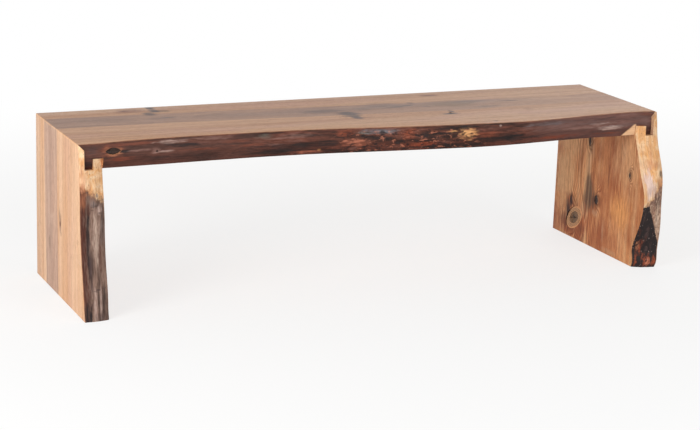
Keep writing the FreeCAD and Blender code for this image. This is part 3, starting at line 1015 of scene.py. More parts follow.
HIDDEN_MARKS = {
    "seat_slab": [
        (620, 200, 70, 26, RED_KNOT, 0.75),
        (1290, 150, 90, 30, RED_KNOT, 0.75),
        (1020, 330, 110, 16, SMUDGE, 0.50),
        (360, 300, 150, 18, SMUDGE, 0.45),
    ],
    "left_leg_slab": [
        (300, 300, 60, 26, RED_KNOT, 0.75),
        (180, 130, 90, 18, SMUDGE, 0.50),
    ],
    "right_leg_slab": [
        (312, 384, 60, 66, GOLD_GLOW, 0.85),
        (300, 372, 90, 100, GOLD_GLOW, 0.35),
        (420, 300, 60, 110, AMBER_DEEP, 0.60),
        (160, 250, 44, 30, AMBER_DEEP, 0.55),
        (250, 262, 50, 26, AMBER_DEEP, 0.60),
        # Partly painted shade: the dark red brown below and behind the ring knot, by its crack
        (424, 100, 44, 80, AMBER_DEEP, 1.20),
        (404, 170, 50, 40, AMBER_DEEP, 1.20),
        (140, 404, 150, 90, PALE_AMBER, 0.75),
        (135, 85, 105, 100, PALE_AMBER, 1.20),
        (272, 58, 90, 68, PALE_AMBER, 1.50),
        (330, 40, 70, 22, PALE_AMBER, 0.40),
        (215, 192, 56, 13, PALE_TAN, 0.60),
        (160, 212, 40, 8, PALE_TAN, 0.45),
        (130, 383, 50, 10, PALE_TAN, 0.35),
        (150, 366, 60, 5, STAIN_AND_CRACK_SHADE, 0.35),
        (190, 306, 90, 4, STAIN_AND_CRACK_SHADE, 0.50),
        (135, 196, 40, 15, STAIN_AND_CRACK_SHADE, 0.60),
        (262, 196, 46, 32, SMUDGE, 0.90),
        (306, 204, 56, 44, SMUDGE, 0.95),
        (292, 272, 64, 40, AMBER_DEEP, 0.50),
        (318, 232, 40, 34, STAIN_AND_CRACK_SHADE, 0.45),
        (305, 246, 34, 26, STAIN_AND_CRACK_SHADE, 0.60),
        (190, 420, 30, 12, STAIN_AND_CRACK_SHADE, 0.60),
        (352, 170, 30, 22, PALE_TAN, 0.45),
        (412, 66, 30, 34, STAIN_AND_CRACK_SHADE, 0.45),
        (430, 108, 16, 46, STAIN_AND_CRACK_SHADE, 0.35),
        (416, 172, 26, 26, STAIN_AND_CRACK_SHADE, 0.30),
        # Painted shade: the dark crack that runs close along the ring knot's collar and up past it
        (376, 84, 54, 15, STAIN_AND_CRACK_SHADE, 1.10),
        (343, 102, 30, 13, STAIN_AND_CRACK_SHADE, 1.05),
        (345, 120, 30, 34, STAIN_AND_CRACK_SHADE, 0.35),
        (395, 290, 44, 8, PALE_TAN, 0.50),
        (445, 330, 10, 60, PALE_TAN, 0.40),
        (348, 240, 16, 26, PALE_TAN, 0.45),
    ],
}
MARK_DEEP = 24 * MM
marks = {name: len(SHOW_MARKS[name] + HIDDEN_MARKS[name]) for name in SLABS}
print("marks on the faces", marks)


# %% Build a finish
def new_material(name):
    material = bpy.data.materials.new(name)
    material.use_nodes = True
    material.node_tree.nodes.clear()
    return material


def show_surface(tree, surface, kind="ShaderNodeOutputMaterial"):
    """Feed a surface to the output of its tree."""
    output = tree.nodes.new(kind)
    tree.links.new(surface.socket, output.inputs["Surface"])


def dress(material, base, roughness, height, distance, settings):
    """Finish a material: its surface, and a bump whose full height is the distance in metres."""
    bump = base.node("ShaderNodeBump", None, {"Strength": 1.0, "Distance": distance, "Height": height})
    feeds = {"Base Color": base, "Roughness": roughness, "Normal": bump, **settings}
    show_surface(material.node_tree, base.node("ShaderNodeBsdfPrincipled", None, feeds))
    return material


# %% The ground colours of both faces
# Noises, listed as for the rings
STREAKS = ((0.9, 30.0, 30.0), 11.3, 3.0, 0.6)
MOTTLE = ((3.0, 11.0, 11.0), 23.9, 3.0)
CLOUDS = ((2.6, 10.0, 10.0), 37.1, 4.0, 0.6, 0.6)
# What a noise brings in: where that starts, where it is full, and how strongly it then shows
DEEP_SAP, PINK_SAP, GREY_HEART = (0.35, 0.68), (0.46, 0.70, 0.6), (0.35, 0.65)
PLAIN_AMBER, DEEP_CLOUDS, PALE_CLOUDS = (0.36, 0.60), (0.46, 0.66), (0.44, 0.30, 0.6)
# Between these depths in metres the show face's colour turns into the hidden face's
HIDDEN_FROM, HIDDEN_BY = 0.012, 0.050


def show_ground(name, place, streaks, mottle):
    """The sapwood of the show face, with the heartwood stripe in it."""
    sap, sap_deep, sap_pink, heart, heart_grey = SAWN_TONES["seat" if name == "seat_slab" else "leg"]
    along = parts(place)[0]
    sapwood = blend(shows(streaks, *DEEP_SAP), sap, sap_deep)
    sapwood = blend(shows(mottle, *PINK_SAP), sapwood, sap_pink)
    heartwood = blend(shows(mottle, *GREY_HEART), heart, heart_grey)
    fading = smooth(along, STRIPE_FADES, STRIPE_FADED) * STRIPE_LOSS
    return blend(stripe_mask(place) * (1 - fading), sapwood, heartwood)


def hidden_ground(streaks, clouds):
    """The orange brown wood nearer to the pith, which is cloudier."""
    amber = blend(shows(streaks, *PLAIN_AMBER), PALE_AMBER, AMBER)
    amber = blend(shows(clouds, *DEEP_CLOUDS), amber, AMBER_DEEP)
    return blend(shows(clouds, *PALE_CLOUDS), amber, PALE_AMBER)


# %% Put the marks on both faces
MARK_TEARS = ((13.0, 120.0, 120.0), 5.1, 4.0, 0.62)


def mark_faces(name, place, base):
    """Blend in every listed mark."""
    tears = noisy(place, *MARK_TEARS)
    thick = SLABS[name][3]
    for deepness, marks in ((0.0, SHOW_MARKS[name]), (thick, HIDDEN_MARKS[name])):
        for far, out, half_long, half_out, shade, strength in marks:
            middle = (down_board(name, far), out * MM, deepness)
            half = (half_long * MM, half_out * MM, MARK_DEEP)
            base = blend(torn_patch(place, tears, middle, half) * strength, base, shade)
    return base


# %% Draw the grain on the sawn wood
GRAIN_LINES = ((1.3, 150.0, 150.0), 67.3, 4.0, 0.66)
FIBRES = ((14.0, 700.0, 700.0), 41.7, 2.0, 0.6)
PORES = ((55.0, 1300.0, 1300.0), 53.3, 0.0)
RING_SWAY = 1.5
# A ring darkens slowly up to its latest wood, and then ends almost at once
RING_STARTS, RING_LATEST = 0.25, 0.95
CLOUDY_RINGS, RINGS_LEFT = (0.30, 0.65, 0.6), 0.4
LINE_BAND, PORE_BAND = (0.46, 0.68), (0.62, 0.70)
# How strongly each one darkens the wood: rings anywhere, more near a knot, and on the hidden face
RING_SHOWS, RING_SHOWS_NEAR_KNOT, RING_SHOWS_HIDDEN = 0.34, 0.34, 0.75
LINE_SHOWS, PORE_SHOWS, FIBRE_BAND = 0.42, 0.55, (0.35, 0.7, 0.32)
# How strongly the painted highlight of a leg's top corner shows
CORNER_HIGHLIGHT = 0.5
SAWN_ROUGH, STREAK_ROUGHER, RING_GLOSSIER = 0.46, 0.10, 0.05
FIBRE_RISE, RING_RISE, PORE_SINK = 0.5, 0.18, 0.8
OIL = {"Specular IOR Level": 0.18, "Coat Weight": 0.05, "Coat Roughness": 0.3}
GRAIN_RELIEF = 0.10 * MM


def sawn_wood(name):
    material = new_material(name + "_sawn")
    place = board_place(material.node_tree, name)
    streaks, mottle, clouds = (noisy(place, *noise) for noise in (STREAKS, MOTTLE, CLOUDS))
    hidden = smooth(parts(place)[2], HIDDEN_FROM, HIDDEN_BY)
    base = blend(hidden, show_ground(name, place, streaks, mottle), hidden_ground(streaks, clouds))
    if name != "seat_slab":
        corner = corner_distance(name, place)
        # Painted highlight: each leg's top corner is drawn paler, as if its rounded arris caught the
        # light
        base = blend(shows(corner, HIGHLIGHT_ENDS, HIGHLIGHT_FULL, CORNER_HIGHLIGHT), base, PALE_AMBER)
    base = mark_faces(name, place, base)

    phase, near_knot = ring_phase(place, name)
    ring = phase.maths("FRACT", phase + mottle * RING_SWAY)
    late = smooth(ring, RING_STARTS, RING_LATEST) * smooth(ring, 1.0, RING_LATEST)
    uneven = shows(clouds, *CLOUDY_RINGS) + RINGS_LEFT
    lines = smooth(noisy(place, *GRAIN_LINES), *LINE_BAND)
    fibres = noisy(place, *FIBRES)
    pores = smooth(noisy(place, *PORES), *PORE_BAND)
    base = tint(late * (near_knot * RING_SHOWS_NEAR_KNOT + RING_SHOWS), base, LATEWOOD)
    base = tint(late * hidden * uneven * RING_SHOWS_HIDDEN, base, AMBER_LATE)
    base = tint(lines * LINE_SHOWS, base, LATEWOOD)
    base = tint(shows(fibres, *FIBRE_BAND), base, LATEWOOD)
    base = tint(pores * PORE_SHOWS, base, PORE)
    roughness = SAWN_ROUGH + streaks * STREAK_ROUGHER - late * RING_GLOSSIER
    height = fibres * FIBRE_RISE + late * RING_RISE - pores * PORE_SINK
    return dress(material, base, roughness, height, GRAIN_RELIEF, OIL)


# %% [markdown]
# The live edge is what lay under the bark: dark, red brown and mauve, with greyer ridges that the
# weather and the bark left, whose pale tops are partly painted highlight, chips that show the
# orange wood under them, and pale fresh cuts at the legs' tops, where the joiner trimmed it. Short
# flecks of bark are left on the right leg. The marks are placed along the edge, and noise tears
# their outlines and fills the rest with long strokes. At a glancing angle the edge is made rougher,
# which keeps white glints off it.

# %% Colours of the live edge
UMBER, RED_BROWN, MAUVE = colour(46, 27, 21), colour(108, 62, 48), colour(146, 110, 100)
MAROON, PLUM = colour(84, 46, 35), colour(122, 92, 86)
ASH_DARK, ASH, ASH_PALE = colour(80, 60, 52), colour(140, 112, 98), colour(200, 176, 160)
BARK_DARK, BARK, BARK_PALE = colour(146, 112, 94), colour(188, 154, 130), colour(222, 196, 174)
NIGHT, SOOT = colour(36, 28, 28), colour(74, 56, 54)
SHADED = colour(190, 160, 150)
RUST, CORAL = colour(156, 78, 50), colour(196, 122, 94)
# The pale fleck colour also paints highlights on the live edges
STEEL, PALE_FLECK_AND_HIGHLIGHT, BLUSH = colour(118, 114, 118), colour(206, 178, 166), colour(236, 206, 192)
GOLD, STRAW, PEACH = colour(226, 168, 112), colour(242, 208, 168), colour(222, 170, 132)
MOSS = colour(108, 104, 94)
TAN = colour(186, 130, 96)
SINGED = colour(142, 88, 62)
# For each edge: its hollows, its middle tone, its ridge tops, which are partly painted highlight,
# and how much of the last shows
EDGE_TONES = {
    "seat_slab": (UMBER, RED_BROWN, MAUVE, 0.42),
    "left_leg_slab": (ASH_DARK, ASH, ASH_PALE, 0.60),
    "right_leg_slab": (BARK_DARK, BARK, BARK_PALE, 0.65),
}

# %% Marks on the seat's edge
# In millimetres: middle along, depth, half length, half depth; then colour and strength
SEAT_EDGE_MARKS = [
    (150, 8, 80, 7, RUST, 0.28),
    (112, 44, 46, 7, RUST, 0.75),
    (94, 23, 40, 19, RUST, 0.60),
    (96, 24, 33, 15, TAN, 0.70),
    (90, 22, 27, 11, MAROON, 0.55),
    (128, 25, 24, 6, NIGHT, 1.00),
    (168, 26, 44, 4, MAUVE, 0.70),
    (38, 20, 20, 14, SOOT, 0.60),
    (40, 54, 60, 10, NIGHT, 0.60),
    (214, 31, 18, 11, MAUVE, 0.70),
    (240, 34, 34, 4, PALE_FLECK_AND_HIGHLIGHT, 0.55),
    (215, 31, 5, 4, UMBER, 1.00),
    (262, 11, 60, 6, PALE_FLECK_AND_HIGHLIGHT, 0.62),
    (280, 21, 80, 6, NIGHT, 0.90),
    (375, 8, 70, 6, MAUVE, 0.60),
    (330, 34, 90, 5, RUST, 0.30),
    (300, 50, 140, 9, UMBER, 0.60),
    (430, 20, 60, 6, RUST, 0.30),
    (522, 12, 34, 9, MOSS, 0.55),
    (600, 15, 76, 9, MAUVE, 0.65),
    (560, 44, 150, 18, NIGHT, 0.65),
    (470, 32, 60, 5, RUST, 0.30),
    (636, 60, 52, 7, CORAL, 0.80),
    (672, 55, 7, 4, GOLD, 0.75),
    (745, 13, 34, 13, RUST, 0.85),
    (702, 38, 36, 14, NIGHT, 0.75),
    (778, 40, 50, 14, CORAL, 0.70),
    (770, 54, 20, 8, MAUVE, 0.60),
    (842, 12, 74, 10, STEEL, 1.00),
    (800, 14, 30, 6, MOSS, 0.60),
    (850, 28, 66, 6, NIGHT, 0.85),
    (930, 22, 26, 20, RUST, 0.75),
    (975, 24, 26, 16, NIGHT, 0.90),
    (960, 50, 60, 8, RUST, 0.95),
    (1044, 33, 22, 14, UMBER, 0.80),
    (1058, 18, 22, 4, GOLD, 0.80),
    (1102, 25, 36, 21, GOLD, 1.25),
    (1094, 10, 17, 8, NIGHT, 1.00),
    (1085, 27, 6, 5, NIGHT, 1.00),
    (1112, 26, 7, 4, NIGHT, 0.95),
    (1100, 38, 8, 3, NIGHT, 0.80),
    (1160, 30, 50, 12, RUST, 0.55),
    (1176, 12, 40, 7, UMBER, 0.60),
    (1201, 8, 6, 4, PALE_FLECK_AND_HIGHLIGHT, 1.00),
    (1246, 43, 62, 15, NIGHT, 0.95),
    (1400, 22, 190, 18, PLUM, 0.60),
    (1350, 12, 90, 7, STEEL, 0.45),
    (1392, 54, 90, 7, RUST, 0.80),
    (1480, 33, 110, 7, MAUVE, 0.75),
    (1500, 12, 130, 7, SOOT, 0.60),
    # Painted highlights: pale glossy streaks near the right end of the edge
    (1576, 40, 70, 8, PALE_FLECK_AND_HIGHLIGHT, 0.75),
    (1540, 26, 60, 5, PALE_FLECK_AND_HIGHLIGHT, 0.45),
    (1560, 56, 60, 5, RUST, 0.45),
    (1630, 34, 40, 8, PLUM, 0.75),
    (1700, 8, 30, 8, RED_BROWN, 0.80),
    (1690, 30, 22, 20, PLUM, 0.65),
]

# %% Marks on the legs' edges
# WEATHERED_MARKS lie on the old wood, TRIM_MARKS on the fresh cut at the top and CHAR_MARKS on the
# right leg's burnt foot. Their columns are those of the seat's edge, counted from the top corner.
WEATHERED_MARKS = {
    "left_leg_slab": [
        (290, 2, 900, 22, MAROON, 1.60),
        (230, 20, 160, 7, NIGHT, 1.00),
        (340, 24, 120, 6, SOOT, 0.80),
        (250, 40, 90, 11, ASH_PALE, 0.55),
        (300, 51, 54, 5, MAROON, 1.20),
        (230, 58, 60, 8, SLATE, 0.60),
        (172, 52, 20, 9, PALE_FLECK_AND_HIGHLIGHT, 0.90),
        (156, 38, 12, 16, STEEL, 0.60),
        (166, 20, 22, 12, MAROON, 0.90),
        (146, 8, 26, 15, SINGED, 1.10),
        (412, 31, 54, 6, PALE_FLECK_AND_HIGHLIGHT, 0.70),
        (406, 47, 56, 5, PALE_FLECK_AND_HIGHLIGHT, 0.60),
        (400, 40, 50, 4, NIGHT, 0.80),
        (440, 12, 44, 14, NIGHT, 1.10),
        (400, 58, 50, 6, NIGHT, 0.80),
        (448, 44, 14, 26, SOOT, 0.50),
    ],
    "right_leg_slab": [
        (252, 18, 24, 16, SOOT, 0.55),
        (300, 28, 50, 6, RUST, 0.35),
        (330, 36, 30, 5, CORAL, 0.45),
        (300, 12, 60, 9, BARK_PALE, 0.50),
        (400, 6, 60, 8, ASH, 0.50),
    ],
}
TRIM_MARKS = {
    "left_leg_slab": [
        (92, 8, 36, 15, PEACH, 1.00),
        (122, 8, 26, 12, RUST, 0.70),
        (140, 30, 8, 8, STEEL, 0.85),
        (134, 46, 8, 7, STEEL, 0.70),
        (60, 10, 30, 5, CORAL, 0.30),
        (110, 26, 26, 5, TAN, 0.60),
    ],
    "right_leg_slab": [
        (120, 36, 110, 50, GOLD_GLOW, 0.50),
        (95, 20, 60, 20, GOLD, 0.85),
        (150, 64, 130, 7, STRAW, 0.80),
        (150, 54, 120, 1.6, TAN, 1.10),
        (120, 30, 40, 8, CORAL, 0.30),
        (148, 40, 20, 34, CORAL, 0.45),
        (150, 14, 22, 14, TAN, 0.60),
        (203, 47, 48, 22, BLUSH, 1.50),
        (222, 36, 24, 20, PALE_FLECK_AND_HIGHLIGHT, 0.70),
        (174, 6, 15, 11, SOOT, 0.90),
        (205, 12, 34, 12, TAN, 0.80),
        (225, 62, 44, 8, GOLD, 0.80),
    ],
}
CHAR_MARKS = [
    (300, 56, 26, 5, SOOT, 0.80),
    (350, 38, 36, 7, SOOT, 1.00),
    (400, 50, 34, 12, RUST, 0.80),
    (392, 54, 18, 7, TAN, 0.80),
    (405, 26, 30, 10, SOOT, 1.00),
    (436, 30, 26, 18, RUST, 1.20),
    (440, 26, 18, 12, CORAL, 1.30),
    (436, 58, 20, 6, RUST, 1.00),
    (436, 8, 26, 8, RUST, 1.00),
]
leg_marks = [*WEATHERED_MARKS.values(), *TRIM_MARKS.values(), CHAR_MARKS]
print("marks on the edges", len(SEAT_EDGE_MARKS), "and", sum(len(rows) for rows in leg_marks))

# %% The noises of an edge, and how marks go onto it
RIDGES = {
    "seat_slab": (8.0, 0.0, 85.0),
    "left_leg_slab": (6.0, 0.0, 56.0),
    "right_leg_slab": (16.0, 0.0, 60.0),
}
RIDGE_NOISE = (13.7, 4.0, 0.58, 0.3)
SCRATCHES = ((36.0, 0.0, 330.0), 29.1, 3.0, 0.62)
EDGE_TEARS = ((30.0, 0.0, 130.0), 61.9, 4.0, 0.62)
STROKES = (16.0, 0.0, 210.0)
CRUMBS = (70.0, 0.0, 120.0)
STROKE_NOISE, STROKE_BAND = (47.3, 3.0, 0.6), (0.36, 0.60)
MIDDLE_BAND, TOP_BAND = (0.34, 0.60), (0.56, 0.74)
RIDGE_RISE, SCRATCH_RISE = 0.7, 0.5
FAINTEST_STROKE = 0.35
NIGHT_HOLLOW = 0.35


class Edge:
    """What the steps of one live edge share: its directions, its noises and its relief so far."""

    def __init__(self, name, tree):
        self.name = name
        self.place = board_place(tree, name)
        self.along, _, self.deep = parts(self.place)
        self.ridges = noisy(self.place, RIDGES[name], *RIDGE_NOISE)
        self.scratches = noisy(self.place, *SCRATCHES)
        self.tears = noisy(self.place, *EDGE_TEARS)
        self.relief = self.ridges * RIDGE_RISE + self.scratches * SCRATCH_RISE

    def strokes(self, lumps, faintest=FAINTEST_STROKE):
        """Brush strokes that let the ground show through a mark."""
        stroke = smooth(noisy(self.place, lumps, *STROKE_NOISE), *STROKE_BAND)
        return stroke * (1 - faintest) + faintest

    def mark(self, base, marks, strokes):
        """Blend marks into a colour, and press the darkest ones into the relief."""
        for far, depth, half_long, half_deep, shade, strength in marks:
            middle = (down_board(self.name, far), 0.0, depth * MM)
            half = (half_long * MM, None, half_deep * MM)
            mask = torn_patch(self.place, self.tears, middle, half) * strength
            base = blend(mask * strokes, base, shade)
            if shade == NIGHT:
                self.relief = self.relief - mask * NIGHT_HOLLOW
        return base

    def ground(self):
        """Dark hollows, a middle tone, and pale ridge tops that are partly painted highlight."""
        hollow, middle, top, top_share = EDGE_TONES[self.name]
        base = blend(smooth(self.ridges, *MIDDLE_BAND), hollow, middle)
        return blend(smooth(self.ridges, *TOP_BAND) * top_share, base, top)


# %% The seat's edge: chipped in the middle, calmer at both ends
CHIPS = ((42.0, 0.0, 105.0), 83.0, 4.0, 0.66, 0.6)
# The chipped zone fades in and out between these places along, and in below the upper arris
CHIPS_START, CHIPS_END = (from_left(690), from_left(770)), (from_left(1190), from_left(1080))
CHIPS_BELOW = (2 * MM, 14 * MM)
PIT_BAND, CORAL_BAND = (0.45, 0.40), (0.57, 0.61)
PIT_SHOWS, PIT_SINK, CORAL_SHOWS = 0.8, 0.5, 0.55
SHADED_BAND = (26 * MM, 52 * MM, 0.55)
CALM_LEFT_SMOOTH = 0.5
CALM_LEFT_FROM, CALM_LEFT_BY, CALM_LEFT_SHARE = from_left(600), from_left(420), 0.58
CALM_RIGHT_FROM, CALM_RIGHT_BY, CALM_RIGHT_SHARE = from_left(1260), from_left(1380), 0.50
CALM_BROWN = colour(90, 59, 50)
# The sawn corner by the right joint: it slants from its foot along to its top. Its pale colour is
# partly the sawn wood's own and partly painted light, as the uncut surface here faces forward and
# down and catches less light
SAWN_FROM, SAWN_SLANT, SAWN_DEEP = from_left(1616), 1.30, 0.062
SAWN_TOP, SAWN_END = 0.035, from_left(1661)
CUT_LINE, CUT_SLOPE = 3 * MM, 9 * MM
SAWN_PALE_AND_PAINTED_LIGHT, SAWN_SHOWS = colour(248, 198, 152), 0.9


def seat_edge(edge):
    """The seat's edge as a colour, and the mask of where it is smooth."""
    along, deep = edge.along, edge.deep
    base = edge.ground()
    calm_left = smooth(along, CALM_LEFT_FROM, CALM_LEFT_BY)
    calm_right = smooth(along, CALM_RIGHT_FROM, CALM_RIGHT_BY)
    base = blend(calm_left * CALM_LEFT_SHARE, base, CALM_BROWN)
    base = blend(calm_right * CALM_RIGHT_SHARE, base, PLUM)
    base = edge.mark(base, SEAT_EDGE_MARKS, edge.strokes(STROKES))
    base = tint(shows(deep, *SHADED_BAND), base, SHADED)
    chips = noisy(edge.place, *CHIPS)
    zone = smooth(along, *CHIPS_START) * smooth(along, *CHIPS_END) * smooth(deep, *CHIPS_BELOW)
    pits = zone * smooth(chips, *PIT_BAND)
    base = blend(zone * smooth(chips, *CORAL_BAND) * CORAL_SHOWS, base, CORAL)
    base = blend(pits * PIT_SHOWS, base, NIGHT)
    edge.relief = edge.relief - pits * PIT_SINK
    slanted = along + (deep - SAWN_DEEP) * SAWN_SLANT
    sawn = smooth(slanted, SAWN_FROM, SAWN_FROM + CUT_SLOPE)
    sawn = sawn * smooth(deep, SAWN_TOP - CUT_LINE, SAWN_TOP + CUT_LINE)
    sawn = sawn * smooth(along, SAWN_END + CUT_LINE, SAWN_END - CUT_LINE)
    calm = calm_right.maths("MAXIMUM", calm_right, calm_left * CALM_LEFT_SMOOTH)
    # The sawn corner: its pale wood, brightened with painted light
    return blend(sawn * SAWN_SHOWS, base, SAWN_PALE_AND_PAINTED_LIGHT), calm


# %% A leg's edge: trimmed and pale at the top, and the right leg's is burnt at the foot
BLOTCHES = ((34.0, 0.0, 46.0), 97.0, 4.0, 0.62, 0.5)
RAGS = ((60.0, 0.0, 75.0), 19.0, 5.0, 0.66)
SPECKS = ((140.0, 0.0, 260.0), 71.0, 1.0)
GLINTS = ((120.0, 0.0, 210.0), 57.0, 2.0)
# Where the trimmed top ends, how far that end leans with depth, its wander and its half width
TRIMMED = {
    "left_leg_slab": (0.112, 0.60, 0.070, 0.022),
    "right_leg_slab": (0.205, 1.00, 0.070, 0.013),
}
# The singed border under the fresh cut, strongest by the outer side, and where the cut itself shows
SINGED_FRESH, SINGED_DEEP, FRESH_BAND = (0.0, 0.60), (70 * MM, 10 * MM), (0.20, 1.0)
GOLD_BLOTCHES, PEACH_RAGS = (0.40, 0.62), (0.50, 0.66, 0.7)
TAN_SCRATCHES, RED_SPECKS = (0.55, 0.75, 0.4), (0.66, 0.72, 0.7)
# How far down the char begins on the inner side, how steeply that sinks towards the outer side and
# from which depth, then how far its border wanders and how soft it is
CHAR_TOP, CHAR_LEAN, CHAR_FROM, CHAR_WANDER, CHAR_SOFT = 0.262, 2.6, 0.046, 0.036, 0.005
SOOT_SCRATCHES, RUST_RIDGES = (0.5, 0.8), (0.62, 0.76, 0.4)
GLINT_BAND, GLINT_RIDGES = (0.64, 0.70), (0.40, 0.60, 0.7)
# Short ripples across the left leg's edge, and the middles and half lengths of their zones
RIPPLES = ((140.0, 0.0, 45.0), 33.0, 2.0)
RIPPLE_BAND, RIPPLE_SINK = (0.56, 0.64, 0.8), 0.4
RIPPLE_ZONES = [(172, 26), (372, 30)]
RIPPLE_DEPTH, RIPPLE_HALF_DEEP = 44 * MM, 34 * MM
# Flecks of bark on the right leg's edge
FLECKS = ((90.0, 0.0, 170.0), 91.0, 3.0, 0.6)
DARK_FLECKS, FLECK_SHOWS, FLECK_SINK = (0.52, 0.62), 0.55, 0.3
PALE_FLECKS = (0.44, 0.34, 0.60)


def rippled(edge, base):
    """Fine dark ripples that cross the grain where the bark was pressed."""
    ripples = shows(noisy(edge.place, *RIPPLES), *RIPPLE_BAND)
    for far, half_long in RIPPLE_ZONES:
        middle = (down_board(edge.name, far), 0.0, RIPPLE_DEPTH)
        zone = spot_mask(edge.place, middle, (half_long * MM, None, RIPPLE_HALF_DEEP))
        base = blend(zone * ripples, base, SOOT)
        edge.relief = edge.relief - zone * ripples * RIPPLE_SINK
    return base


def flecked(edge, base):
    """Bark left on the right leg: short dark and pale flecks that cross its streaks."""
    flecks = noisy(edge.place, *FLECKS)
    dark = smooth(flecks, *DARK_FLECKS)
    base = blend(dark * FLECK_SHOWS, base, SOOT)
    edge.relief = edge.relief - dark * FLECK_SINK
    return blend(shows(flecks, *PALE_FLECKS), base, BARK_PALE)


def fresh_cut(edge, rags):
    """The pale wood that the joiner's knife left at the top of a leg."""
    straw = blend(shows(noisy(edge.place, *BLOTCHES), *GOLD_BLOTCHES), STRAW, GOLD)
    straw = blend(shows(rags, *PEACH_RAGS), straw, PEACH)
    straw = blend(shows(edge.scratches, *TAN_SCRATCHES), straw, TAN)
    straw = blend(shows(noisy(edge.place, *SPECKS), *RED_SPECKS), straw, RED_BROWN)
    return edge.mark(straw, TRIM_MARKS[edge.name], edge.strokes(STROKES))


def burnt_foot(edge, rags, corner, base):
    """Char up from the foot, highest on the inner side, with a few glints and warm patches."""
    outside = CHAR_FROM - edge.deep
    rise = outside.maths("MAXIMUM", outside, 0.0) * CHAR_LEAN
    burnt = smooth(corner + swing(rags, CHAR_WANDER) - rise, CHAR_TOP, CHAR_TOP + CHAR_SOFT)
    char = blend(shows(edge.scratches, *SOOT_SCRATCHES), NIGHT, SOOT)
    char = blend(shows(edge.ridges, *RUST_RIDGES), char, RUST)
    char = edge.mark(char, CHAR_MARKS, edge.strokes(CRUMBS, 0.0))
    # Painted highlights: pale glints on the char's ridge tops
    glints = smooth(noisy(edge.place, *GLINTS), *GLINT_BAND)
    char = blend(glints * shows(edge.ridges, *GLINT_RIDGES), char, PALE_FLECK_AND_HIGHLIGHT)
    return blend(burnt, base, char)


def leg_edge(edge):
    """A leg's edge as a colour, and the mask of where it is smooth."""
    corner = corner_distance(edge.name, edge.place)
    end, lean, wander, soft = TRIMMED[edge.name]
    rags = noisy(edge.place, *RAGS)
    ragged = corner + swing(rags, wander) - edge.deep * lean
    fresh = smooth(ragged, end + soft, end - soft)
    base = edge.mark(edge.ground(), WEATHERED_MARKS[edge.name], edge.strokes(STROKES))
    base = rippled(edge, base) if edge.name == "left_leg_slab" else flecked(edge, base)
    base = blend(smooth(fresh, *SINGED_FRESH) * smooth(edge.deep, *SINGED_DEEP), base, SINGED)
    base = blend(smooth(fresh, *FRESH_BAND), base, fresh_cut(edge, rags))
    if edge.name == "right_leg_slab":
        base = burnt_foot(edge, rags, corner, base)
    return base, fresh


# %% Put an edge together
EDGE_SHEEN = {"Specular IOR Level": 0.24}
EDGE_RELIEF = 1.2 * MM
SCRATCH_SHOWS, SCRATCH_LOST = 0.6, 0.35
SCRATCH_BAND = (0.42, 0.66)
GLANCING, GLANCING_ROUGHER = 0.25, 0.5
EDGE_ROUGH, SCRATCH_ROUGHER, SMOOTH_ROUGHER = 0.44, 0.18, 0.06
ARRIS_BY, ARRIS_FROM, ARRIS_RAGGED, ARRIS_SHOWS = 2.8 * MM, 0.4 * MM, 4 * MM, 0.5


def live_edge(name):
    material = new_material(name + "_live_edge")
    edge = Edge(name, material.node_tree)
    base, smoothed = seat_edge(edge) if name == "seat_slab" else leg_edge(edge)
    scratched = SCRATCH_SHOWS - smoothed * SCRATCH_LOST
    base = tint(smooth(edge.scratches, *SCRATCH_BAND) * scratched, base, PORE)
    arris = smooth(edge.deep + swing(edge.scratches, ARRIS_RAGGED), ARRIS_BY, ARRIS_FROM)
    base = blend(arris * ARRIS_SHOWS, base, TAN)
    glancing = edge.place.node("ShaderNodeLayerWeight", None, {"Blend": GLANCING}, "Facing")
    roughness = EDGE_ROUGH + edge.scratches * SCRATCH_ROUGHER
    roughness = roughness + smoothed * SMOOTH_ROUGHER + glancing * GLANCING_ROUGHER
    return dress(material, base, roughness, edge.relief, EDGE_RELIEF, EDGE_SHEEN)


# %% [markdown]
# A dead knot is almost black, with a little brown between its rings. The ring knot low on the right
# leg is still tight: tan rings run round it, and only its heart and the crack behind it are dark.

# %% Knot finishes
KNOT_MOTTLE, MOTTLE_DETAIL = (60.0, 60.0, 60.0), 3.0
KNOT_GRIT, GRIT_DETAIL, GRIT_SEED = (420.0, 420.0, 420.0), 2.0, 5
DEAD_RINGS = 5
RINGS_SWAY = 2.2
RING_FADES, GRIT_BAND = (0.2, 0.9), (0.45, 0.7, 0.6)
# Where the collar turns into the wood round it, where the heart's middle is dark, and where a dead
# knot's rim is
COLLAR_SWAY, COLLAR_RIM = 0.4, (1.02, 1.18, 0.8)
HEART_SWAY, HEART_CORE = 1.2, (1.15, 0.85)
DEAD_RIM = (0.86, 1.0, 0.7)
KNOT_ROUGH, GRIT_ROUGHER = 0.34, 0.2
KNOT_SHEEN = {"Specular IOR Level": 0.2, "Coat Weight": 0.08, "Coat Roughness": 0.2}
KNOT_RELIEF, WAVE_RISE, GRIT_RISE = 0.35 * MM, 0.5, 0.5


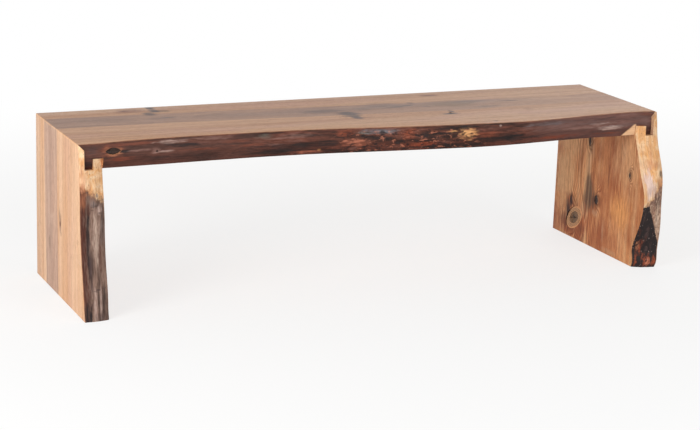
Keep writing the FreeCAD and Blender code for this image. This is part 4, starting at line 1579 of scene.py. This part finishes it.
def knot_wood(name, dark, light, rings, seed):
    spot = spots[name]
    material = new_material(name + "_wood")
    here = Wire(material.node_tree).node("ShaderNodeTexCoord", output=3)
    away = here.vectors("SUBTRACT", here, tuple(spot.middle))
    long = here.vectors("DOT_PRODUCT", away, tuple(spot.long / spot.half_long), output=1)
    short = here.vectors("DOT_PRODUCT", away, tuple(spot.short / spot.half_short), output=1)
    radial = (long * long + short * short) ** 0.5
    mottle = noisy(here, KNOT_MOTTLE, seed, MOTTLE_DETAIL)
    grit = noisy(here, KNOT_GRIT, seed + GRIT_SEED, GRIT_DETAIL)
    turns = radial * rings + mottle * RINGS_SWAY
    wave = turns.maths("FRACT", turns)
    base = blend(smooth(wave, *RING_FADES), light, dark)
    base = tint(shows(grit, *GRIT_BAND), base, PORE)
    if name == "ring_knot_collar":
        base = blend(shows(radial + mottle * COLLAR_SWAY, *COLLAR_RIM), base, AMBER)
    elif name == "ring_knot_heart":
        base = blend(shows(radial + mottle * HEART_SWAY, *HEART_CORE), base, dark)
    else:
        base = blend(shows(radial, *DEAD_RIM), base, dark)
    roughness = KNOT_ROUGH + grit * GRIT_ROUGHER
    height = wave * WAVE_RISE + grit * GRIT_RISE
    return dress(material, base, roughness, height, KNOT_RELIEF, KNOT_SHEEN)


COAL, BARK_BROWN = colour(34, 30, 30), colour(74, 54, 44)
RING_TAN, RING_BROWN = colour(204, 160, 116), colour(150, 102, 68)
HEART_BROWN, HEART_OLIVE = colour(66, 46, 32), colour(146, 112, 78)
KNOT_COLOURS = {
    "ring_knot_collar": (RING_BROWN, RING_TAN, 7, 2.2),
    "ring_knot_heart": (HEART_BROWN, HEART_OLIVE, 6, 4.4),
}
for name, plug in plugs.items():
    dark, light, rings, seed = KNOT_COLOURS.get(name, (COAL, BARK_BROWN, DEAD_RINGS, len(name)))
    plug.data.materials.append(knot_wood(name, dark, light, rings, seed))
print("knot finishes", len(plugs))

# %% [markdown]
# Each slab now gets its two finishes. A face belongs to the live edge when it looks forward. Every
# other outer face was sawn.

# %% Give the slabs their finishes
FORWARD_SHARE = -0.45
SHARP_ANGLE = math.radians(35)
for name, slab in slabs.items():
    slab.data.materials.clear()
    slab.data.materials.append(sawn_wood(name))
    slab.data.materials.append(live_edge(name))
    live = 0
    for face in slab.data.polygons:
        face.material_index = int(face.normal.y < FORWARD_SHARE)
        live += face.material_index
    print(name, "has", live, "faces of live edge")
for piece in (*slabs.values(), *plugs.values()):
    piece.data.shade_smooth()
    piece.data.set_sharp_from_angle(angle=SHARP_ANGLE)

# %% [markdown]
# The light is a plain studio: a big soft window at the left and in front, a softer fill from the
# right, a weak window behind, and pale walls all round. The floor and the walls show white to the
# camera, and the floor keeps a soft shadow under the bench that fades out to white around it.

# %% Light
WALL_LIGHT = 0.50
LIGHT_TARGET = (0, 0, 0.25)
# Name, place and size in metres, and power in watts
LIGHTS = [
    ("left_window", (-3.8, -1.9, 1.5), 2.2, 115),
    ("front_fill", (1.8, -4.2, 2.0), 2.6, 45),
    ("back_window", (2.6, 2.6, 2.6), 2.0, 16),
]
WHITE = (1.0, 1.0, 1.0, 1.0)


def area_light(name, place, size, power):
    data = bpy.data.lights.new(name, "AREA")
    data.shape = "DISK"
    data.size = size
    data.energy = power
    lamp = bpy.data.objects.new(name, data)
    bpy.context.scene.collection.objects.link(lamp)
    lamp.location = place
    lamp.rotation_mode = "QUATERNION"
    lamp.rotation_quaternion = (Vector(LIGHT_TARGET) - Vector(place)).to_track_quat("-Z", "Y")


for light in LIGHTS:
    area_light(*light)
print("lights", len(LIGHTS))


def seen_share(wire):
    """1 on rays that the camera sees, straight, mirrored or through glass, and 0 on the light's own."""
    rays = wire.node("ShaderNodeLightPath")
    outputs = rays.socket.node.outputs
    kinds = ("Camera", "Glossy", "Transmission")
    camera, glossy, clear = (Wire(wire.tree, outputs["Is " + kind + " Ray"]) for kind in kinds)
    return camera.maths("MAXIMUM", camera, glossy.maths("MAXIMUM", glossy, clear))


world = bpy.data.worlds.new("studio")
bpy.context.scene.world = world
world.use_nodes = True
world.node_tree.nodes.clear()
air = Wire(world.node_tree)
lit = air.node("ShaderNodeBackground", None, {"Color": WHITE, "Strength": WALL_LIGHT})
shown = air.node("ShaderNodeBackground", None, {"Color": WHITE, "Strength": 1.0})
walls = air.node("ShaderNodeMixShader", None, {0: seen_share(air), 1: lit, 2: shown})
show_surface(world.node_tree, walls, "ShaderNodeOutputWorld")
bpy.context.scene.view_settings.view_transform = "Standard"

# %% Floor
FLOOR_HALF = 12.0
FLOOR_NEAR, FLOOR_FAR = 0.7, 2.6
# The bench is long, so distances along it count for less
FLOOR_COUNTS = (0.6, 1.0, 0.0)
SHADOW_KEPT = 0.26
PAPER_WHITE = colour(250, 249, 247)
corners = [(-1, -1), (1, -1), (1, 1), (-1, 1)]
floor = new_piece("floor", [(FLOOR_HALF * x, FLOOR_HALF * y, 0) for x, y in corners], [[0, 1, 2, 3]])
paper = new_material("pale_floor")
here = Wire(paper.node_tree).node("ShaderNodeTexCoord", output=3)
flattened = here.vectors("MULTIPLY", here, FLOOR_COUNTS)
away = here.vectors("LENGTH", flattened, output=1)
white = seen_share(here) * (smooth(away, FLOOR_NEAR, FLOOR_FAR) * SHADOW_KEPT + (1 - SHADOW_KEPT))
matt = here.node("ShaderNodeBsdfDiffuse", None, {"Color": PAPER_WHITE})
glow = here.node("ShaderNodeEmission", None, {"Color": WHITE, "Strength": 1.0})
show_surface(paper.node_tree, here.node("ShaderNodeMixShader", None, {0: white, 1: matt, 2: glow}))
floor.data.materials.append(paper)
print("floor", 2 * FLOOR_HALF, "m wide")

# %% Hand the pieces over
for name, piece in {**slabs, **plugs}.items():
    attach(piece, "root")
    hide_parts(name)
